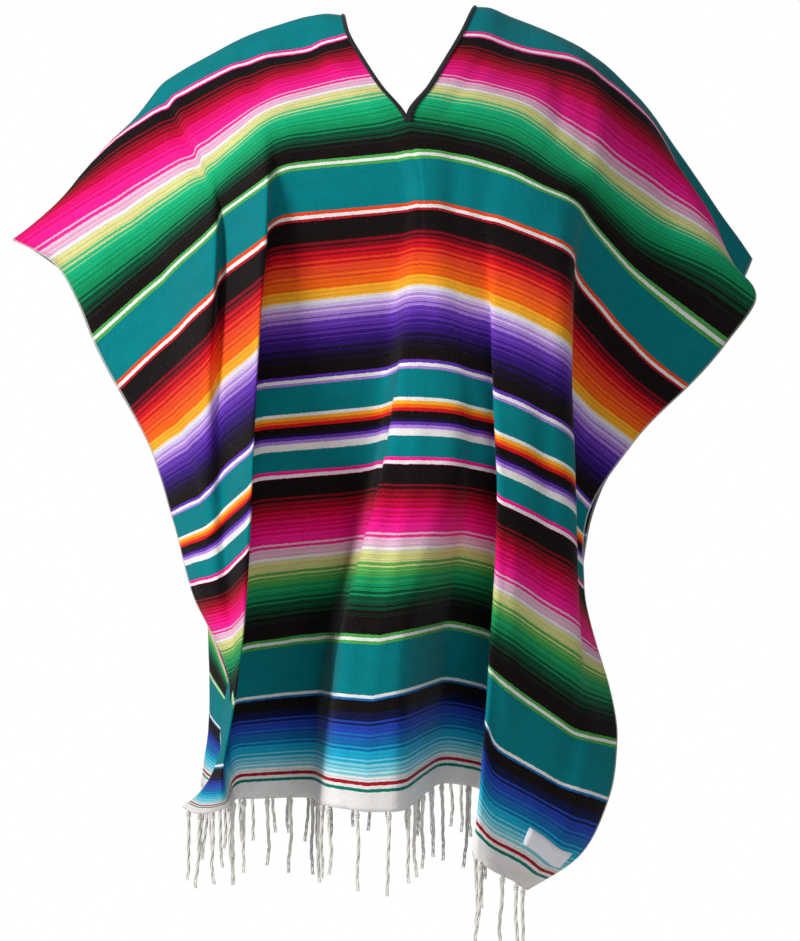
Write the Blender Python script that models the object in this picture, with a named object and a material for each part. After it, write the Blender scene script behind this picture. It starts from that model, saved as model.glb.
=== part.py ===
"""Mexican serape, worn as a V-neck poncho with the elbows held out.

One woven length hangs over the shoulders with its neck slit in the middle. Each
named fold is a line down the cloth, pinned at named stripe levels. A section
through all the folds is rounded at each level, and the sections are lofted along
the cloth from the back hem over the shoulders to the front hem.

Millimetres in the tables: across (+ to the right of the picture), depth (+ to the
back) and height over the neck, where the wearer's shoulders carry the cloth.
"""

import math
from dataclasses import dataclass

import bpy
import numpy as np

MM = 0.001

# Cloth
WALL = 2.0
SEAM_GAP = 0.5
CLEARANCE = 0.75

# Distance along the cloth from the shoulder line to each named stripe level
LEVELS = {
    "shoulder": 0.0,
    "pink": 45.0,
    "elbow": 90.0,
    "yellow": 130.0,
    "slit": 183.0,
    "breast": 220.0,
    "chest": 365.0,
    "belt": 455.0,
    "waist": 544.0,
    "hip": 719.0,
    "thigh": 785.0,
    "border": 848.0,
    "hem": 912.0,
}
FRONT_LEVELS = tuple(LEVELS)
BACK_LEVELS = ("pink", "yellow", "slit", "breast", "chest", "waist", "hip", "hem")
ROWS_BETWEEN = {
    "shoulder": 3,
    "pink": 3,
    "elbow": 3,
    "yellow": 4,
    "slit": 1,
    "breast": 3,
    "chest": 3,
    "waist": 3,
    "hip": 2,
    "thigh": 6,
}
BACK_ROWS_BETWEEN = {
    "shoulder": 3,
    "pink": 5,
    "yellow": 4,
    "slit": 1,
    "breast": 3,
    "chest": 2,
    "waist": 2,
    "hip": 2,
}

# Neck binding: a folded tape over both edges of the slit
TAPE_DEPTH = 8.0
TAPE_THICKNESS = 0.9
TAPE_COLUMN = 11.0
CLEARED_COLUMNS = 6
LEAST_COLUMN = 1.6
# The most of the cell beside the slit that the tape reaches over
TAPE_REACH = 0.8

# Fringe: knotted warp ends, fused in a narrow strip under each hem
STRANDS = 30
STRIP_HEIGHT = 3.0
STRIP_INSET = 0.5
STRAND_WIDTH = 6.0
STRAND_END_WIDTH = 3.2
STRAND_LENGTH = 74.0
LENGTH_SPREAD = 0.12
STRAND_STEPS = (0.25, 0.6, 1.0)
STRAND_SWAY = 5.0
STRAND_WAVE = 0.5
WAVE_TURNS = 4.0
# How a strand's sway is shared between across, depth and height
SWAY_DIRECTION = np.array([0.7, 0.4, 0.0])
UNEVEN = (12.9898, 78.233, 4.7)

# Care label near the right front corner, blank
LABEL_THICKNESS = 0.8
LABEL_FIRST_LEVEL = 847.0
LABEL_LAST_LEVEL = 871.0
# Grid columns from the right selvage to the label's two sides
LABEL_COLUMNS = (15, 7)


@dataclass(frozen=True)
class Fold:
    """A line down the cloth: its places at some levels, and how round it is."""

    name: str
    softness: float
    pins: dict


# The front's left half, from the selvage to the middle
FRONT_LEFT = (
    Fold("left_selvage", 0.0, {
        "shoulder": (-364, 140, -272), "pink": (-405, 120, -241), "elbow": (-423, 85, -233),
        "yellow": (-378, 50, -257), "breast": (-335, 50, -339), "chest": (-265, -5, -464),
        "waist": (-219, -110, -595), "hip": (-174, -170, -715), "thigh": (-189, -165, -774),
        "hem": (-228, -85, -824)}),
    Fold("left_arm", 0.45, {
        "shoulder": (-335, 100, -163), "pink": (-333, 65, -138), "elbow": (-309, 25, -165),
        "yellow": (-286, 0, -204), "breast": (-264, 10, -281), "chest": (-233, -50, -443),
        "waist": (-207, -135, -592), "hip": (-174, -178, -714), "thigh": (-188, -173, -773),
        "hem": (-220, -100, -827)}),
    Fold("left_wing", 0.35, {
        "shoulder": (-261, 58, -68), "pink": (-251, 22, -90), "elbow": (-233, -5, -128),
        "yellow": (-214, -35, -164), "breast": (-194, -85, -232), "chest": (-203, -105, -422),
        "waist": (-191, -160, -587), "hip": (-172, -186, -712), "thigh": (-186, -182, -772),
        "hem": (-212, -118, -827)}),
    Fold("left_crease", 0.35, {
        "shoulder": (-240, 52, -56), "pink": (-230, 14, -79), "elbow": (-216, -14, -117),
        "yellow": (-199, -45, -154), "breast": (-192, -62, -217), "chest": (-189, -80, -391),
        "waist": (-178, -150, -580), "hip": (-170, -202, -709), "thigh": (-183, -199, -770),
        "hem": (-196, -150, -823)}),
    Fold("left_edge", 0.28, {
        "shoulder": (-186, 32, -29), "pink": (-178, -10, -55), "elbow": (-165, -46, -91),
        "yellow": (-153, -80, -121), "breast": (-140, -128, -188), "chest": (-144, -172, -363),
        "waist": (-152, -205, -557), "hip": (-167, -218, -705), "thigh": (-178, -215, -768),
        "hem": (-176, -178, -813)}),
    Fold("left_tuck", 0.35, {
        "shoulder": (-168, 27, -21), "pink": (-161, -14, -50), "elbow": (-149, -50, -85),
        "yellow": (-137, -82, -112), "breast": (-134, -110, -179), "chest": (-160, -98, -339),
        "waist": (-170, -112, -516), "hip": (-177, -112, -682), "thigh": (-188, -110, -743),
        "hem": (-172, -112, -813)}),
    Fold("left_panel", 0.35, {
        "shoulder": (-151, 22, -15), "pink": (-142, -18, -46), "elbow": (-132, -54, -79),
        "yellow": (-120, -85, -107), "breast": (-117, -111, -172), "chest": (-149, -116, -317),
        "waist": (-157, -130, -487), "hip": (-168, -126, -657), "thigh": (-179, -120, -712),
        "hem": (-165, -114, -813)}),
    Fold("valley", 0.25, {
        "shoulder": (-107, 10, -4), "pink": (-98, -26, -42), "elbow": (-88, -60, -69),
        "yellow": (-72, -90, -96), "breast": (-10, -114, -162), "chest": (-10, -108, -301),
        "waist": (-37, -75, -477), "hip": (-80, -61, -650), "thigh": (-89, -55, -708),
        "hem": (-97, -49, -818)}),
    Fold("crest", 0.35, {
        "shoulder": (-84, 4, -1), "pink": (-77, -34, -34), "elbow": (-65, -66, -64),
        "yellow": (-49, -94, -92), "breast": (0, -124, -161), "chest": (3, -132, -297),
        "waist": (-18, -165, -470), "hip": (-60, -188, -644), "thigh": (-67, -192, -701),
        "hem": (-78, -200, -810)}),
)
SLIT_FRONT_LEFT = {
    "shoulder": (-65, 0, -4), "pink": (-59, -38, -29), "elbow": (-43, -68, -60),
    "yellow": (-26, -95, -89), "slit": (1, -117, -126)}
SLIT_FRONT_RIGHT = {
    "shoulder": (72, 0, 5), "pink": (57, -38, -28), "elbow": (40, -68, -60),
    "yellow": (24, -95, -89), "slit": (1, -117, -126)}
MIDDLE_FRONT = {
    "slit": (1, -117, -126), "breast": (10, -127, -160), "chest": (16, -134, -296),
    "waist": (6, -172, -470), "hip": (-26, -196, -645), "thigh": (-33, -200, -703),
    "hem": (-40, -206, -815)}
# The front's right half, from the middle to the selvage
FRONT_RIGHT = (
    Fold("brow", 0.35, {
        "shoulder": (89, 4, 5), "pink": (83, -35, -28), "elbow": (70, -66, -62),
        "yellow": (57, -93, -92), "breast": (34, -125, -161), "chest": (42, -134, -300),
        "waist": (46, -165, -471), "hip": (2, -190, -640), "thigh": (-2, -195, -697),
        "hem": (-3, -205, -815)}),
    Fold("recess", 0.4, {
        "shoulder": (109, 8, -4), "pink": (106, -30, -37), "elbow": (99, -62, -72),
        "yellow": (92, -90, -100), "breast": (59, -120, -165), "chest": (62, -128, -307),
        "waist": (68, -140, -475), "hip": (47, -95, -635), "thigh": (41, -80, -691),
        "hem": (35, -55, -801)}),
    Fold("right_tuck", 0.35, {
        "shoulder": (129, 10, -11), "pink": (129, -26, -43), "elbow": (128, -58, -78),
        "yellow": (122, -86, -108), "breast": (85, -116, -172), "chest": (87, -118, -313),
        "waist": (97, -118, -481), "hip": (93, -82, -648), "thigh": (90, -68, -704),
        "hem": (85, -50, -810)}),
    Fold("right_edge", 0.28, {
        "shoulder": (148, 12, -18), "pink": (150, -24, -44), "elbow": (153, -54, -85),
        "yellow": (149, -84, -125), "breast": (109, -116, -180), "chest": (86, -134, -317),
        "waist": (89, -180, -507), "hip": (81, -188, -675), "thigh": (78, -192, -727),
        "hem": (65, -212, -858)}),
    Fold("right_crease", 0.35, {
        "shoulder": (165, 16, -25), "pink": (171, -18, -48), "elbow": (176, -48, -97),
        "yellow": (172, -80, -144), "breast": (135, -112, -193), "chest": (116, -136, -328),
        "waist": (115, -172, -519), "hip": (98, -176, -692), "thigh": (87, -184, -752),
        "hem": (82, -210, -871)}),
    Fold("right_panel", 0.42, {
        "shoulder": (188, 22, -35), "pink": (195, -10, -60), "elbow": (201, -40, -110),
        "yellow": (193, -72, -161), "breast": (174, -100, -207), "chest": (172, -128, -357),
        "waist": (177, -130, -551), "hip": (166, -135, -741), "thigh": (154, -150, -792),
        "hem": (104, -190, -884)}),
    Fold("right_pocket", 0.35, {
        "shoulder": (212, 32, -50), "pink": (221, 6, -77), "elbow": (229, -22, -129),
        "yellow": (223, -52, -180), "breast": (191, -60, -226), "chest": (160, -30, -385),
        "waist": (164, -70, -573), "hip": (185, -120, -748), "thigh": (174, -140, -800),
        "border": (153, -154, -857), "hem": (111, -170, -891)}),
    Fold("right_wing", 0.4, {
        "shoulder": (261, 55, -97), "pink": (266, 36, -113), "elbow": (272, 8, -153),
        "yellow": (265, -15, -203), "breast": (236, -15, -270), "chest": (195, 0, -420),
        "belt": (175, -21, -507), "waist": (176, -50, -589), "hip": (201, -100, -753),
        "thigh": (190, -125, -806), "border": (165, -137, -862), "hem": (117, -150, -897)}),
    Fold("right_arm", 0.45, {
        "shoulder": (322, 80, -178), "pink": (316, 52, -205), "elbow": (317, 22, -196),
        "yellow": (325, 5, -234), "slit": (322, 8, -270), "breast": (292, 15, -310),
        "chest": (218, 5, -436), "belt": (182, -16, -516), "waist": (180, -42, -596),
        "hip": (209, -90, -756), "thigh": (198, -115, -810), "border": (172, -126, -866),
        "hem": (119, -140, -899)}),
    Fold("right_selvage", 0.0, {
        "shoulder": (376, 105, -252), "pink": (362, 80, -276), "elbow": (350, 52, -267),
        "yellow": (353, 45, -268), "slit": (372, 42, -302), "breast": (343, 50, -344),
        "chest": (240, 10, -452), "belt": (191, -13, -526), "waist": (185, -35, -601),
        "hip": (216, -80, -758), "thigh": (205, -105, -813), "border": (176, -116, -868),
        "hem": (122, -130, -902)}),
)

# The back's left half, from the selvage to the middle: no side of it shows but one fold
BACK_LEFT = (
    Fold("left_selvage", 0.0, {
        "pink": (-332, 140, -302), "yellow": (-290, 125, -376), "breast": (-268, 105, -444),
        "chest": (-236, 60, -542), "waist": (-205, 0, -643), "hip": (-176, -50, -731),
        "hem": (-188, -30, -815)}),
    Fold("left_arm", 0.45, {
        "pink": (-325, 130, -196), "yellow": (-299, 150, -272), "breast": (-271, 150, -332),
        "chest": (-241, 120, -465), "waist": (-216, 75, -599), "hip": (-198, 10, -708),
        "hem": (-207, 15, -822)}),
    Fold("left_fold", 0.4, {
        "pink": (-268, 100, -117), "yellow": (-259, 135, -196), "breast": (-247, 150, -277),
        "chest": (-231, 140, -432), "waist": (-220, 100, -579), "hip": (-213, 60, -692),
        "hem": (-222, 62, -818)}),
    Fold("left_inner", 0.45, {
        "pink": (-225, 72, -69), "yellow": (-219, 118, -143), "breast": (-214, 140, -228),
        "chest": (-203, 150, -398), "waist": (-190, 125, -563), "hip": (-186, 110, -682),
        "hem": (-193, 105, -812)}),
    Fold("left_pleat", 0.4, {
        "pink": (-183, 50, -50), "yellow": (-178, 105, -122), "breast": (-174, 130, -209),
        "chest": (-160, 165, -372), "waist": (-149, 168, -553), "hip": (-146, 178, -679),
        "hem": (-152, 190, -814)}),
    Fold("left_dip", 0.45, {
        "pink": (-147, 40, -36), "yellow": (-139, 95, -107), "breast": (-130, 120, -197),
        "chest": (-116, 130, -366), "waist": (-105, 120, -541), "hip": (-102, 115, -666),
        "hem": (-107, 110, -800)}),
    Fold("left_ridge", 0.4, {
        "pink": (-106, 38, -26), "yellow": (-93, 98, -99), "breast": (-78, 132, -191),
        "chest": (-62, 160, -357), "waist": (-60, 166, -536), "hip": (-60, 172, -670),
        "hem": (-62, 180, -808)}),
    Fold("middle_dip", 0.45, {
        "pink": (-83, 40, -26), "yellow": (-61, 95, -89), "breast": (-28, 118, -186),
        "chest": (-23, 125, -352), "waist": (-20, 120, -527), "hip": (-20, 112, -657),
        "hem": (-17, 108, -797)}),
)
SLIT_BACK_LEFT = {"pink": (-62, 38, -26), "yellow": (-31, 90, -82), "slit": (1, 112, -125)}
SLIT_BACK_RIGHT = {"pink": (66, 38, -26), "yellow": (36, 90, -82), "slit": (1, 112, -125)}
MIDDLE_BACK = {
    "slit": (1, 112, -125), "breast": (3, 122, -182), "chest": (7, 138, -351),
    "waist": (9, 150, -527), "hip": (11, 158, -660), "hem": (13, 165, -803)}
# The back's right half, from the middle to the selvage
BACK_RIGHT = (
    Fold("right_dip", 0.45, {
        "pink": (86, 38, -26), "yellow": (61, 95, -87), "breast": (37, 120, -186),
        "chest": (44, 124, -356), "waist": (46, 112, -530), "hip": (48, 98, -661),
        "hem": (48, 90, -800)}),
    Fold("right_ridge", 0.4, {
        "pink": (109, 40, -28), "yellow": (102, 98, -99), "breast": (90, 134, -194),
        "chest": (91, 168, -362), "waist": (89, 184, -536), "hip": (87, 196, -670),
        "hem": (85, 208, -810)}),
    Fold("side_dip", 0.45, {
        "pink": (151, 42, -38), "yellow": (151, 100, -118), "breast": (138, 122, -213),
        "chest": (131, 118, -380), "waist": (124, 98, -552), "hip": (122, 80, -679),
        "hem": (118, 68, -808)}),
    Fold("right_pleat", 0.4, {
        "pink": (199, 60, -57), "yellow": (201, 118, -148), "breast": (187, 138, -248),
        "chest": (168, 162, -404), "waist": (153, 164, -569), "hip": (147, 164, -695),
        "hem": (142, 160, -813)}),
    Fold("right_wing", 0.45, {
        "pink": (266, 85, -112), "yellow": (258, 125, -208), "breast": (235, 135, -311),
        "chest": (190, 115, -459), "waist": (168, 85, -605), "hip": (165, 60, -717),
        "hem": (160, 50, -810)}),
    Fold("right_arm", 0.45, {
        "pink": (320, 122, -184), "yellow": (299, 135, -276), "breast": (266, 115, -361),
        "chest": (198, 75, -486), "waist": (174, 30, -619), "hip": (178, 10, -723),
        "hem": (162, 10, -811)}),
    Fold("right_selvage", 0.0, {
        "pink": (371, 138, -272), "yellow": (332, 125, -342), "breast": (286, 90, -400),
        "chest": (213, 45, -492), "waist": (182, -10, -617), "hip": (191, -30, -733),
        "hem": (161, -20, -814)}),
)

CORNER_STEPS = 3
# Extra points on each straight span of a section, from the middle out to the selvage
LEFT_SPANS = (1, 0, 1, 0, 0, 0, 0, 0, 1)
RIGHT_SPANS = (1, 0, 0, 0, 0, 1, 0, 0, 1, 1)
BACK_CORNER_STEPS = 7
# A fold's curve reaches into a long span no further than this many times into its short one
SPAN_BALANCE = 1.5
SHARP_ANGLE = math.radians(60)


@dataclass(frozen=True)
class Finish:
    """A plain Principled material."""

    name: str
    colour: tuple
    roughness: float = 0.9


WOVEN_TEAL = Finish("woven_teal", (0.0, 0.26, 0.29, 1.0))
WOVEN_RED = Finish("woven_red", (0.55, 0.02, 0.05, 1.0))
BLACK_TAPE = Finish("black_tape", (0.012, 0.012, 0.014, 1.0), 0.8)
WHITE_YARN = Finish("white_yarn", (0.86, 0.85, 0.82, 1.0))
WHITE_SATIN = Finish("white_satin", (0.9, 0.9, 0.9, 1.0), 0.6)


def through(stations, values, at):
    """Reads a smooth curve through values at rising stations (cubic, with level slopes at peaks)."""
    stations = np.asarray(stations, float)
    values = np.asarray(values, float)
    flat = values.reshape(len(stations), -1)
    step = np.diff(stations)[:, None]
    rise = np.diff(flat, axis=0) / step
    slope = np.empty_like(flat)
    slope[0], slope[-1] = rise[0], rise[-1]
    before, after = step[:-1], step[1:]
    slope[1:-1] = (rise[:-1] * after + rise[1:] * before) / (before + after)
    cell = np.clip(np.searchsorted(stations, at, side="right") - 1, 0, len(stations) - 2)
    width = step[cell]
    t = (np.asarray(at, float)[:, None] - stations[cell][:, None]) / width
    low = (1 + 2 * t) * (1 - t) ** 2 * flat[cell] + t * (1 - t) ** 2 * width * slope[cell]
    high = t**2 * (3 - 2 * t) * flat[cell + 1] - t**2 * (1 - t) * width * slope[cell + 1]
    return (low + high).reshape((len(at),) + values.shape[1:])


def at_levels(pins, names):
    """The places of a fold at the named levels, read from its own pins."""
    known = [LEVELS[name] for name in pins]
    return through(known, list(pins.values()), [LEVELS[name] for name in names])


def rounded(points, softness, steps, spans):
    """A polyline with each inner corner replaced by a quadratic curve.

    Args:
        points: Corner points, one row each.
        softness: For each corner, the share of its two spans that the curve takes. Beside a
            short span, it takes less of a long one.
        steps: Points on each curve.
        spans: Extra points on each straight span.
    """
    path = [points[0]]
    last = len(points) - 1
    length = np.linalg.norm(np.diff(points, axis=0), axis=1)
    leave = points[0]
    for i in range(1, last + 1):
        ratio = length[i] / length[i - 1] if i < last else 0.0
        share = softness[i] * min(1.0, SPAN_BALANCE * ratio)
        enter = points[i] + share * (points[i - 1] - points[i])
        extra = spans[i - 1]
        path.extend(leave + (enter - leave) * k / (extra + 1) for k in range(1, extra + 1))
        if i == last:
            path.append(points[i])
            break
        share = softness[i] * min(1.0, SPAN_BALANCE / ratio)
        leave = points[i] + share * (points[i + 1] - points[i])
        for k in range(steps):
            t = k / (steps - 1)
            path.append((1 - t) ** 2 * enter + 2 * t * (1 - t) * points[i] + t**2 * leave)
    return np.array(path)


def distances(path):
    """Distance along a path to each of its points."""
    return np.concatenate([[0.0], np.cumsum(np.linalg.norm(np.diff(path, axis=0), axis=1))])


def place_at(path, along, values=None):
    """The points of a path (or the values kept at its points) at given distances along it."""
    known = distances(path)
    values = path if values is None else values
    return np.stack([np.interp(along, known, values[:, k]) for k in range(3)], axis=1)


def tape_point(path):
    """Moves the second point to the width of the neck binding's strip, and the next clear of it."""
    at = distances(path)
    at[1] = TAPE_COLUMN
    for k in range(2, CLEARED_COLUMNS):
        at[k] = max(at[k], at[k - 1] + LEAST_COLUMN)
    return place_at(path, at)


def front_half(folds, edge, spans):
    """Sections of one half of the front, each from the middle out to the selvage."""
    corners = np.stack([edge] + [at_levels(fold.pins, FRONT_LEVELS) for fold in folds], axis=1)
    softness = [0.0] + [fold.softness for fold in folds]
    return [tape_point(rounded(row, softness, CORNER_STEPS, spans)) for row in corners]


def back_half(folds, edge, shares):
    """Sections of one half of the back, with as many points as the shoulder line has."""
    corners = np.stack([edge] + [at_levels(fold.pins, BACK_LEVELS) for fold in folds], axis=1)
    softness = [0.0] + [fold.softness for fold in folds]
    spans = [1] * (len(corners[0]) - 1)
    sections = []
    for row in corners:
        curve = rounded(row, softness, BACK_CORNER_STEPS, spans)
        sections.append(tape_point(place_at(curve, shares * distances(curve)[-1])))
    return sections


def middle_edge(slit, middle, names):
    """The inner end of each section: the slit's edge above its end, the middle line below."""
    upper = [name for name in names if LEVELS[name] <= LEVELS["slit"]]
    lower = [name for name in names if LEVELS[name] > LEVELS["slit"]]
    return np.concatenate([at_levels(slit, upper), at_levels(middle, lower)])


def half_sheet(front_folds, back_folds, slits, spans, along):
    """One half of the whole cloth: points[row, column] for rows from back hem to front hem."""
    front = front_half(front_folds, middle_edge(slits[0], MIDDLE_FRONT, FRONT_LEVELS), spans)
    shoulder = front[0]
    shares = distances(shoulder) / distances(shoulder)[-1]
    back = back_half(back_folds, middle_edge(slits[1], MIDDLE_BACK, BACK_LEVELS), shares)
    stations = [-LEVELS[name] for name in reversed(BACK_LEVELS)]
    stations += [LEVELS[name] for name in FRONT_LEVELS]
    return through(stations, np.array(back[::-1] + front), along)


def row_places(rows_between):
    """Distances of the rows from the shoulder line, by the steps wanted after each level."""
    names = list(rows_between) + ["hem"]
    places = [0.0]
    for first, second in zip(names, names[1:]):
        steps = rows_between[first]
        span = LEVELS[second] - LEVELS[first]
        places += [LEVELS[first] + span * k / steps for k in range(1, steps + 1)]
    return places


class Cloth:
    """The whole woven length as a grid of points and outward directions, split at the neck slit."""

    def __init__(self):
        self.along = [-v for v in reversed(row_places(BACK_ROWS_BETWEEN)[1:])]
        self.along += row_places(ROWS_BETWEEN)
        left = half_sheet(
            FRONT_LEFT[::-1], BACK_LEFT[::-1], (SLIT_FRONT_LEFT, SLIT_BACK_LEFT), LEFT_SPANS,
            self.along)
        right = half_sheet(
            FRONT_RIGHT, BACK_RIGHT, (SLIT_FRONT_RIGHT, SLIT_BACK_RIGHT), RIGHT_SPANS, self.along)
        self.middle = left.shape[1] - 1
        # The middle column is held twice: the slit parts its two copies
        self.points = np.concatenate([left[:, ::-1], right], axis=1)
        self.rows, self.columns = self.points.shape[:2]
        self.joined = [abs(v) >= LEVELS["slit"] - 1e-6 for v in self.along]
        self.shoulder = self.along.index(0.0)
        self.normals = self._normals()

    def quads(self):
        """Each cell of the grid as (row, column), leaving out the slit's own column."""
        for row in range(self.rows - 1):
            for column in range(self.columns - 1):
                if column != self.middle:
                    yield row, column

    def _normals(self):
        """Outward direction at each grid point, shared by both copies of the middle column."""
        p = self.points
        total = np.zeros_like(p)
        for row, column in self.quads():
            a, b = p[row, column], p[row, column + 1]
            c, d = p[row + 1, column + 1], p[row + 1, column]
            facing = np.cross(c - a, b - d)
            for r, k in ((row, column), (row, column + 1), (row + 1, column + 1), (row + 1, column)):
                total[r, k] += facing
        for row in range(self.rows):
            if self.joined[row]:
                shared = total[row, self.middle] + total[row, self.middle + 1]
                total[row, self.middle] = total[row, self.middle + 1] = shared
        return total / np.linalg.norm(total, axis=2, keepdims=True)

    def index(self, row, column):
        """Number of a grid point, the same for both copies where the middle is one line."""
        if self.joined[row] and column == self.middle + 1:
            column = self.middle
        return row * self.columns + column


def sheet_solid(name, points, normals, quads, wall, lift=0.0):
    """A closed wall on a sheet of quads.

    Args:
        name: Name of the object.
        points: Sheet points by number, in millimetres.
        normals: Outward directions by number.
        quads: Faces as tuples of point numbers, anticlockwise seen from outside.
        wall: Thickness.
        lift: How far the wall's middle lies outside the sheet.
    """
    used = sorted({number for quad in quads for number in quad})
    slot = {number: k for k, number in enumerate(used)}
    base = np.array([points[number] for number in used])
    facing = np.array([normals[number] for number in used])
    count = len(used)
    corners = np.concatenate([base + facing * (lift + wall / 2), base + facing * (lift - wall / 2)])
    faces = []
    edges = set()
    for quad in quads:
        outer = [slot[number] for number in quad]
        faces.append(outer)
        faces.append([k + count for k in reversed(outer)])
        edges.update(zip(outer, outer[1:] + outer[:1]))
    for a, b in sorted(edges):
        if (b, a) not in edges:
            faces.append([b, a, a + count, b + count])
    return make_object(name, corners, faces)


def make_object(name, points, faces):
    """A mesh object from points in millimetres, its repeated points merged."""
    mesh = bpy.data.meshes.new(name)
    mesh.from_pydata([tuple(point) for point in np.asarray(points) * MM], [], faces)
    mesh.validate()
    mesh.shade_smooth()
    mesh.set_sharp_from_angle(angle=SHARP_ANGLE)
    part = bpy.data.objects.new(name, mesh)
    bpy.context.scene.collection.objects.link(part)
    return part


def dress(part, finish):
    """Gives an object one Principled material."""
    material = bpy.data.materials.get(finish.name) or bpy.data.materials.new(finish.name)
    material.use_nodes = True
    shader = material.node_tree.nodes["Principled BSDF"]
    shader.inputs["Base Color"].default_value = finish.colour
    shader.inputs["Roughness"].default_value = finish.roughness
    shader.inputs["Metallic"].default_value = 0.0
    part.data.materials.append(material)


def panel(cloth, name, first, last):
    """The cloth's wall between two rows, its shoulder row drawn back by half the seam gap."""
    points = cloth.points.copy()
    toward = 1 if first == cloth.shoulder else -1
    along = points[cloth.shoulder + toward] - points[cloth.shoulder]
    along /= np.linalg.norm(along, axis=1, keepdims=True)
    points[cloth.shoulder] += along * SEAM_GAP / 2
    quads = []
    for row, column in cloth.quads():
        if first <= row < last:
            quads.append((
                cloth.index(row, column), cloth.index(row + 1, column),
                cloth.index(row + 1, column + 1), cloth.index(row, column + 1)))
    flat = points.reshape(-1, 3)
    return sheet_solid(name, flat, cloth.normals.reshape(-1, 3), quads, WALL)


def binding_section(cloth, edge, neighbour, outward):
    """Eight corners of the folded tape at one point of the slit.

    Args:
        edge: (row, column) of the slit's edge.
        neighbour: (row, column) of the cloth point that the tape reaches toward.
        outward: Unit direction out of the cloth's edge.
    """
    start, end = cloth.points[edge], cloth.points[neighbour]
    up, far_up = cloth.normals[edge], cloth.normals[neighbour]
    share = min(TAPE_DEPTH / np.linalg.norm(end - start), TAPE_REACH)
    deep = start + (end - start) * share
    deep_up = up + (far_up - up) * share
    near = WALL / 2 + CLEARANCE
    far = near + TAPE_THICKNESS
    lip = start + outward * CLEARANCE
    rim = start + outward * (CLEARANCE + TAPE_THICKNESS)
    return [
        deep + deep_up * far, rim + up * far, rim - up * far, deep - deep_up * far,
        deep - deep_up * near, lip - up * near, lip + up * near, deep + deep_up * near]


def outward_from(cloth, edge, neighbour):
    direction = cloth.points[edge] - cloth.points[neighbour]
    return direction / np.linalg.norm(direction)


def neck_binding(cloth):
    """The tape's closed loop: up one side of the slit, round its end, and down the other."""
    slit_rows = [r for r in range(cloth.rows) if not cloth.joined[r]]
    left, right = cloth.middle, cloth.middle + 1
    front_end, back_end = slit_rows[-1] + 1, slit_rows[0] - 1
    sections = []

    def end_of_slit(row, beyond, columns):
        outward = outward_from(cloth, (row, left), (beyond, left))
        fan = ((row, columns[0]), (beyond, columns[0]), (beyond, left),
               (beyond, columns[1]), (row, columns[1]))
        for neighbour in fan:
            sections.append(binding_section(cloth, (row, left), neighbour, outward))

    for row in slit_rows:
        edge, neighbour = (row, left), (row, left - 1)
        sections.append(binding_section(cloth, edge, neighbour, outward_from(cloth, edge, neighbour)))
    end_of_slit(front_end, front_end + 1, (left - 1, right + 1))
    for row in reversed(slit_rows):
        edge, neighbour = (row, right), (row, right + 1)
        sections.append(binding_section(cloth, edge, neighbour, outward_from(cloth, edge, neighbour)))
    end_of_slit(back_end, back_end - 1, (right + 1, left - 1))
    return loop_solid("neck_binding", sections)


def loop_solid(name, sections):
    """A closed ring through equal sections; corners that fall together are shared."""
    number = {}
    points = []
    rings = []
    for section in sections:
        ring = []
        for corner in section:
            key = tuple(np.round(corner, 4))
            if key not in number:
                number[key] = len(points)
                points.append(corner)
            ring.append(number[key])
        rings.append(ring)
    faces = []
    for ring, following in zip(rings, rings[1:] + rings[:1]):
        for k in range(len(ring)):
            j = (k + 1) % len(ring)
            face = []
            for corner in (ring[k], following[k], following[j], ring[j]):
                if corner not in face:
                    face.append(corner)
            if len(face) > 2:
                faces.append(face)
    return make_object(name, points, faces)


def sway(number, strand):
    """A repeatable uneven value between -1 and 1."""
    a, b, c = UNEVEN
    return math.sin(a * (strand + 1) + b * number) * math.cos(c * strand + number)


def fringe(cloth, name, hem, inside):
    """A narrow strip under one hem, with tapered strands drawn out of its lower side."""
    columns = [k for k in range(cloth.columns) if k != cloth.middle + 1]
    # Followed with the cloth on the same hand on both hems, so that the faces point outwards
    columns = columns if hem > inside else columns[::-1]
    edge = cloth.points[hem][columns]
    down = edge - cloth.points[inside][columns]
    down /= np.linalg.norm(down, axis=1, keepdims=True)
    facing = cloth.normals[hem][columns]
    length = distances(edge)[-1]
    pitch = length / STRANDS
    half = STRAND_WIDTH / 2
    middles = [(strand + 0.5) * pitch for strand in range(STRANDS)]
    # Each mark is (place along the hem, whether a strand's root starts there)
    marks = [(STRIP_INSET, False), (length - STRIP_INSET, False)]
    marks += [mark for m in middles for mark in ((m - half, True), (m + half, False))]
    for station in distances(edge)[1:-1]:
        apart = min(abs(station - m) for m in middles)
        if apart > half + STRIP_INSET and STRIP_INSET < station < length - STRIP_INSET:
            marks.append((station, False))
    marks.sort()
    places = [place for place, _ in marks]
    at, fall, out = (place_at(edge, places, kept) for kept in (edge, down, facing))
    points, faces = [], []
    for k in range(len(places)):
        top = at[k] + fall[k] * CLEARANCE
        low = top + fall[k] * STRIP_HEIGHT
        side = out[k] * WALL / 2
        points += [top + side, top - side, low - side, low + side]
    strand = 0
    for k in range(len(places) - 1):
        a, b = 4 * k, 4 * (k + 1)
        faces += [[a, a + 3, b + 3, b], [a + 1, b + 1, b + 2, a + 2], [a, b, b + 1, a + 1]]
        if marks[k][1]:
            faces += strand_faces(points, (a + 3, a + 2, b + 2, b + 3), strand)
            strand += 1
        else:
            faces.append([a + 3, a + 2, b + 2, b + 3])
    end = 4 * (len(places) - 1)
    faces += [[0, 1, 2, 3], [end, end + 3, end + 2, end + 1]]
    return make_object(name, points, faces)


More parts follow.
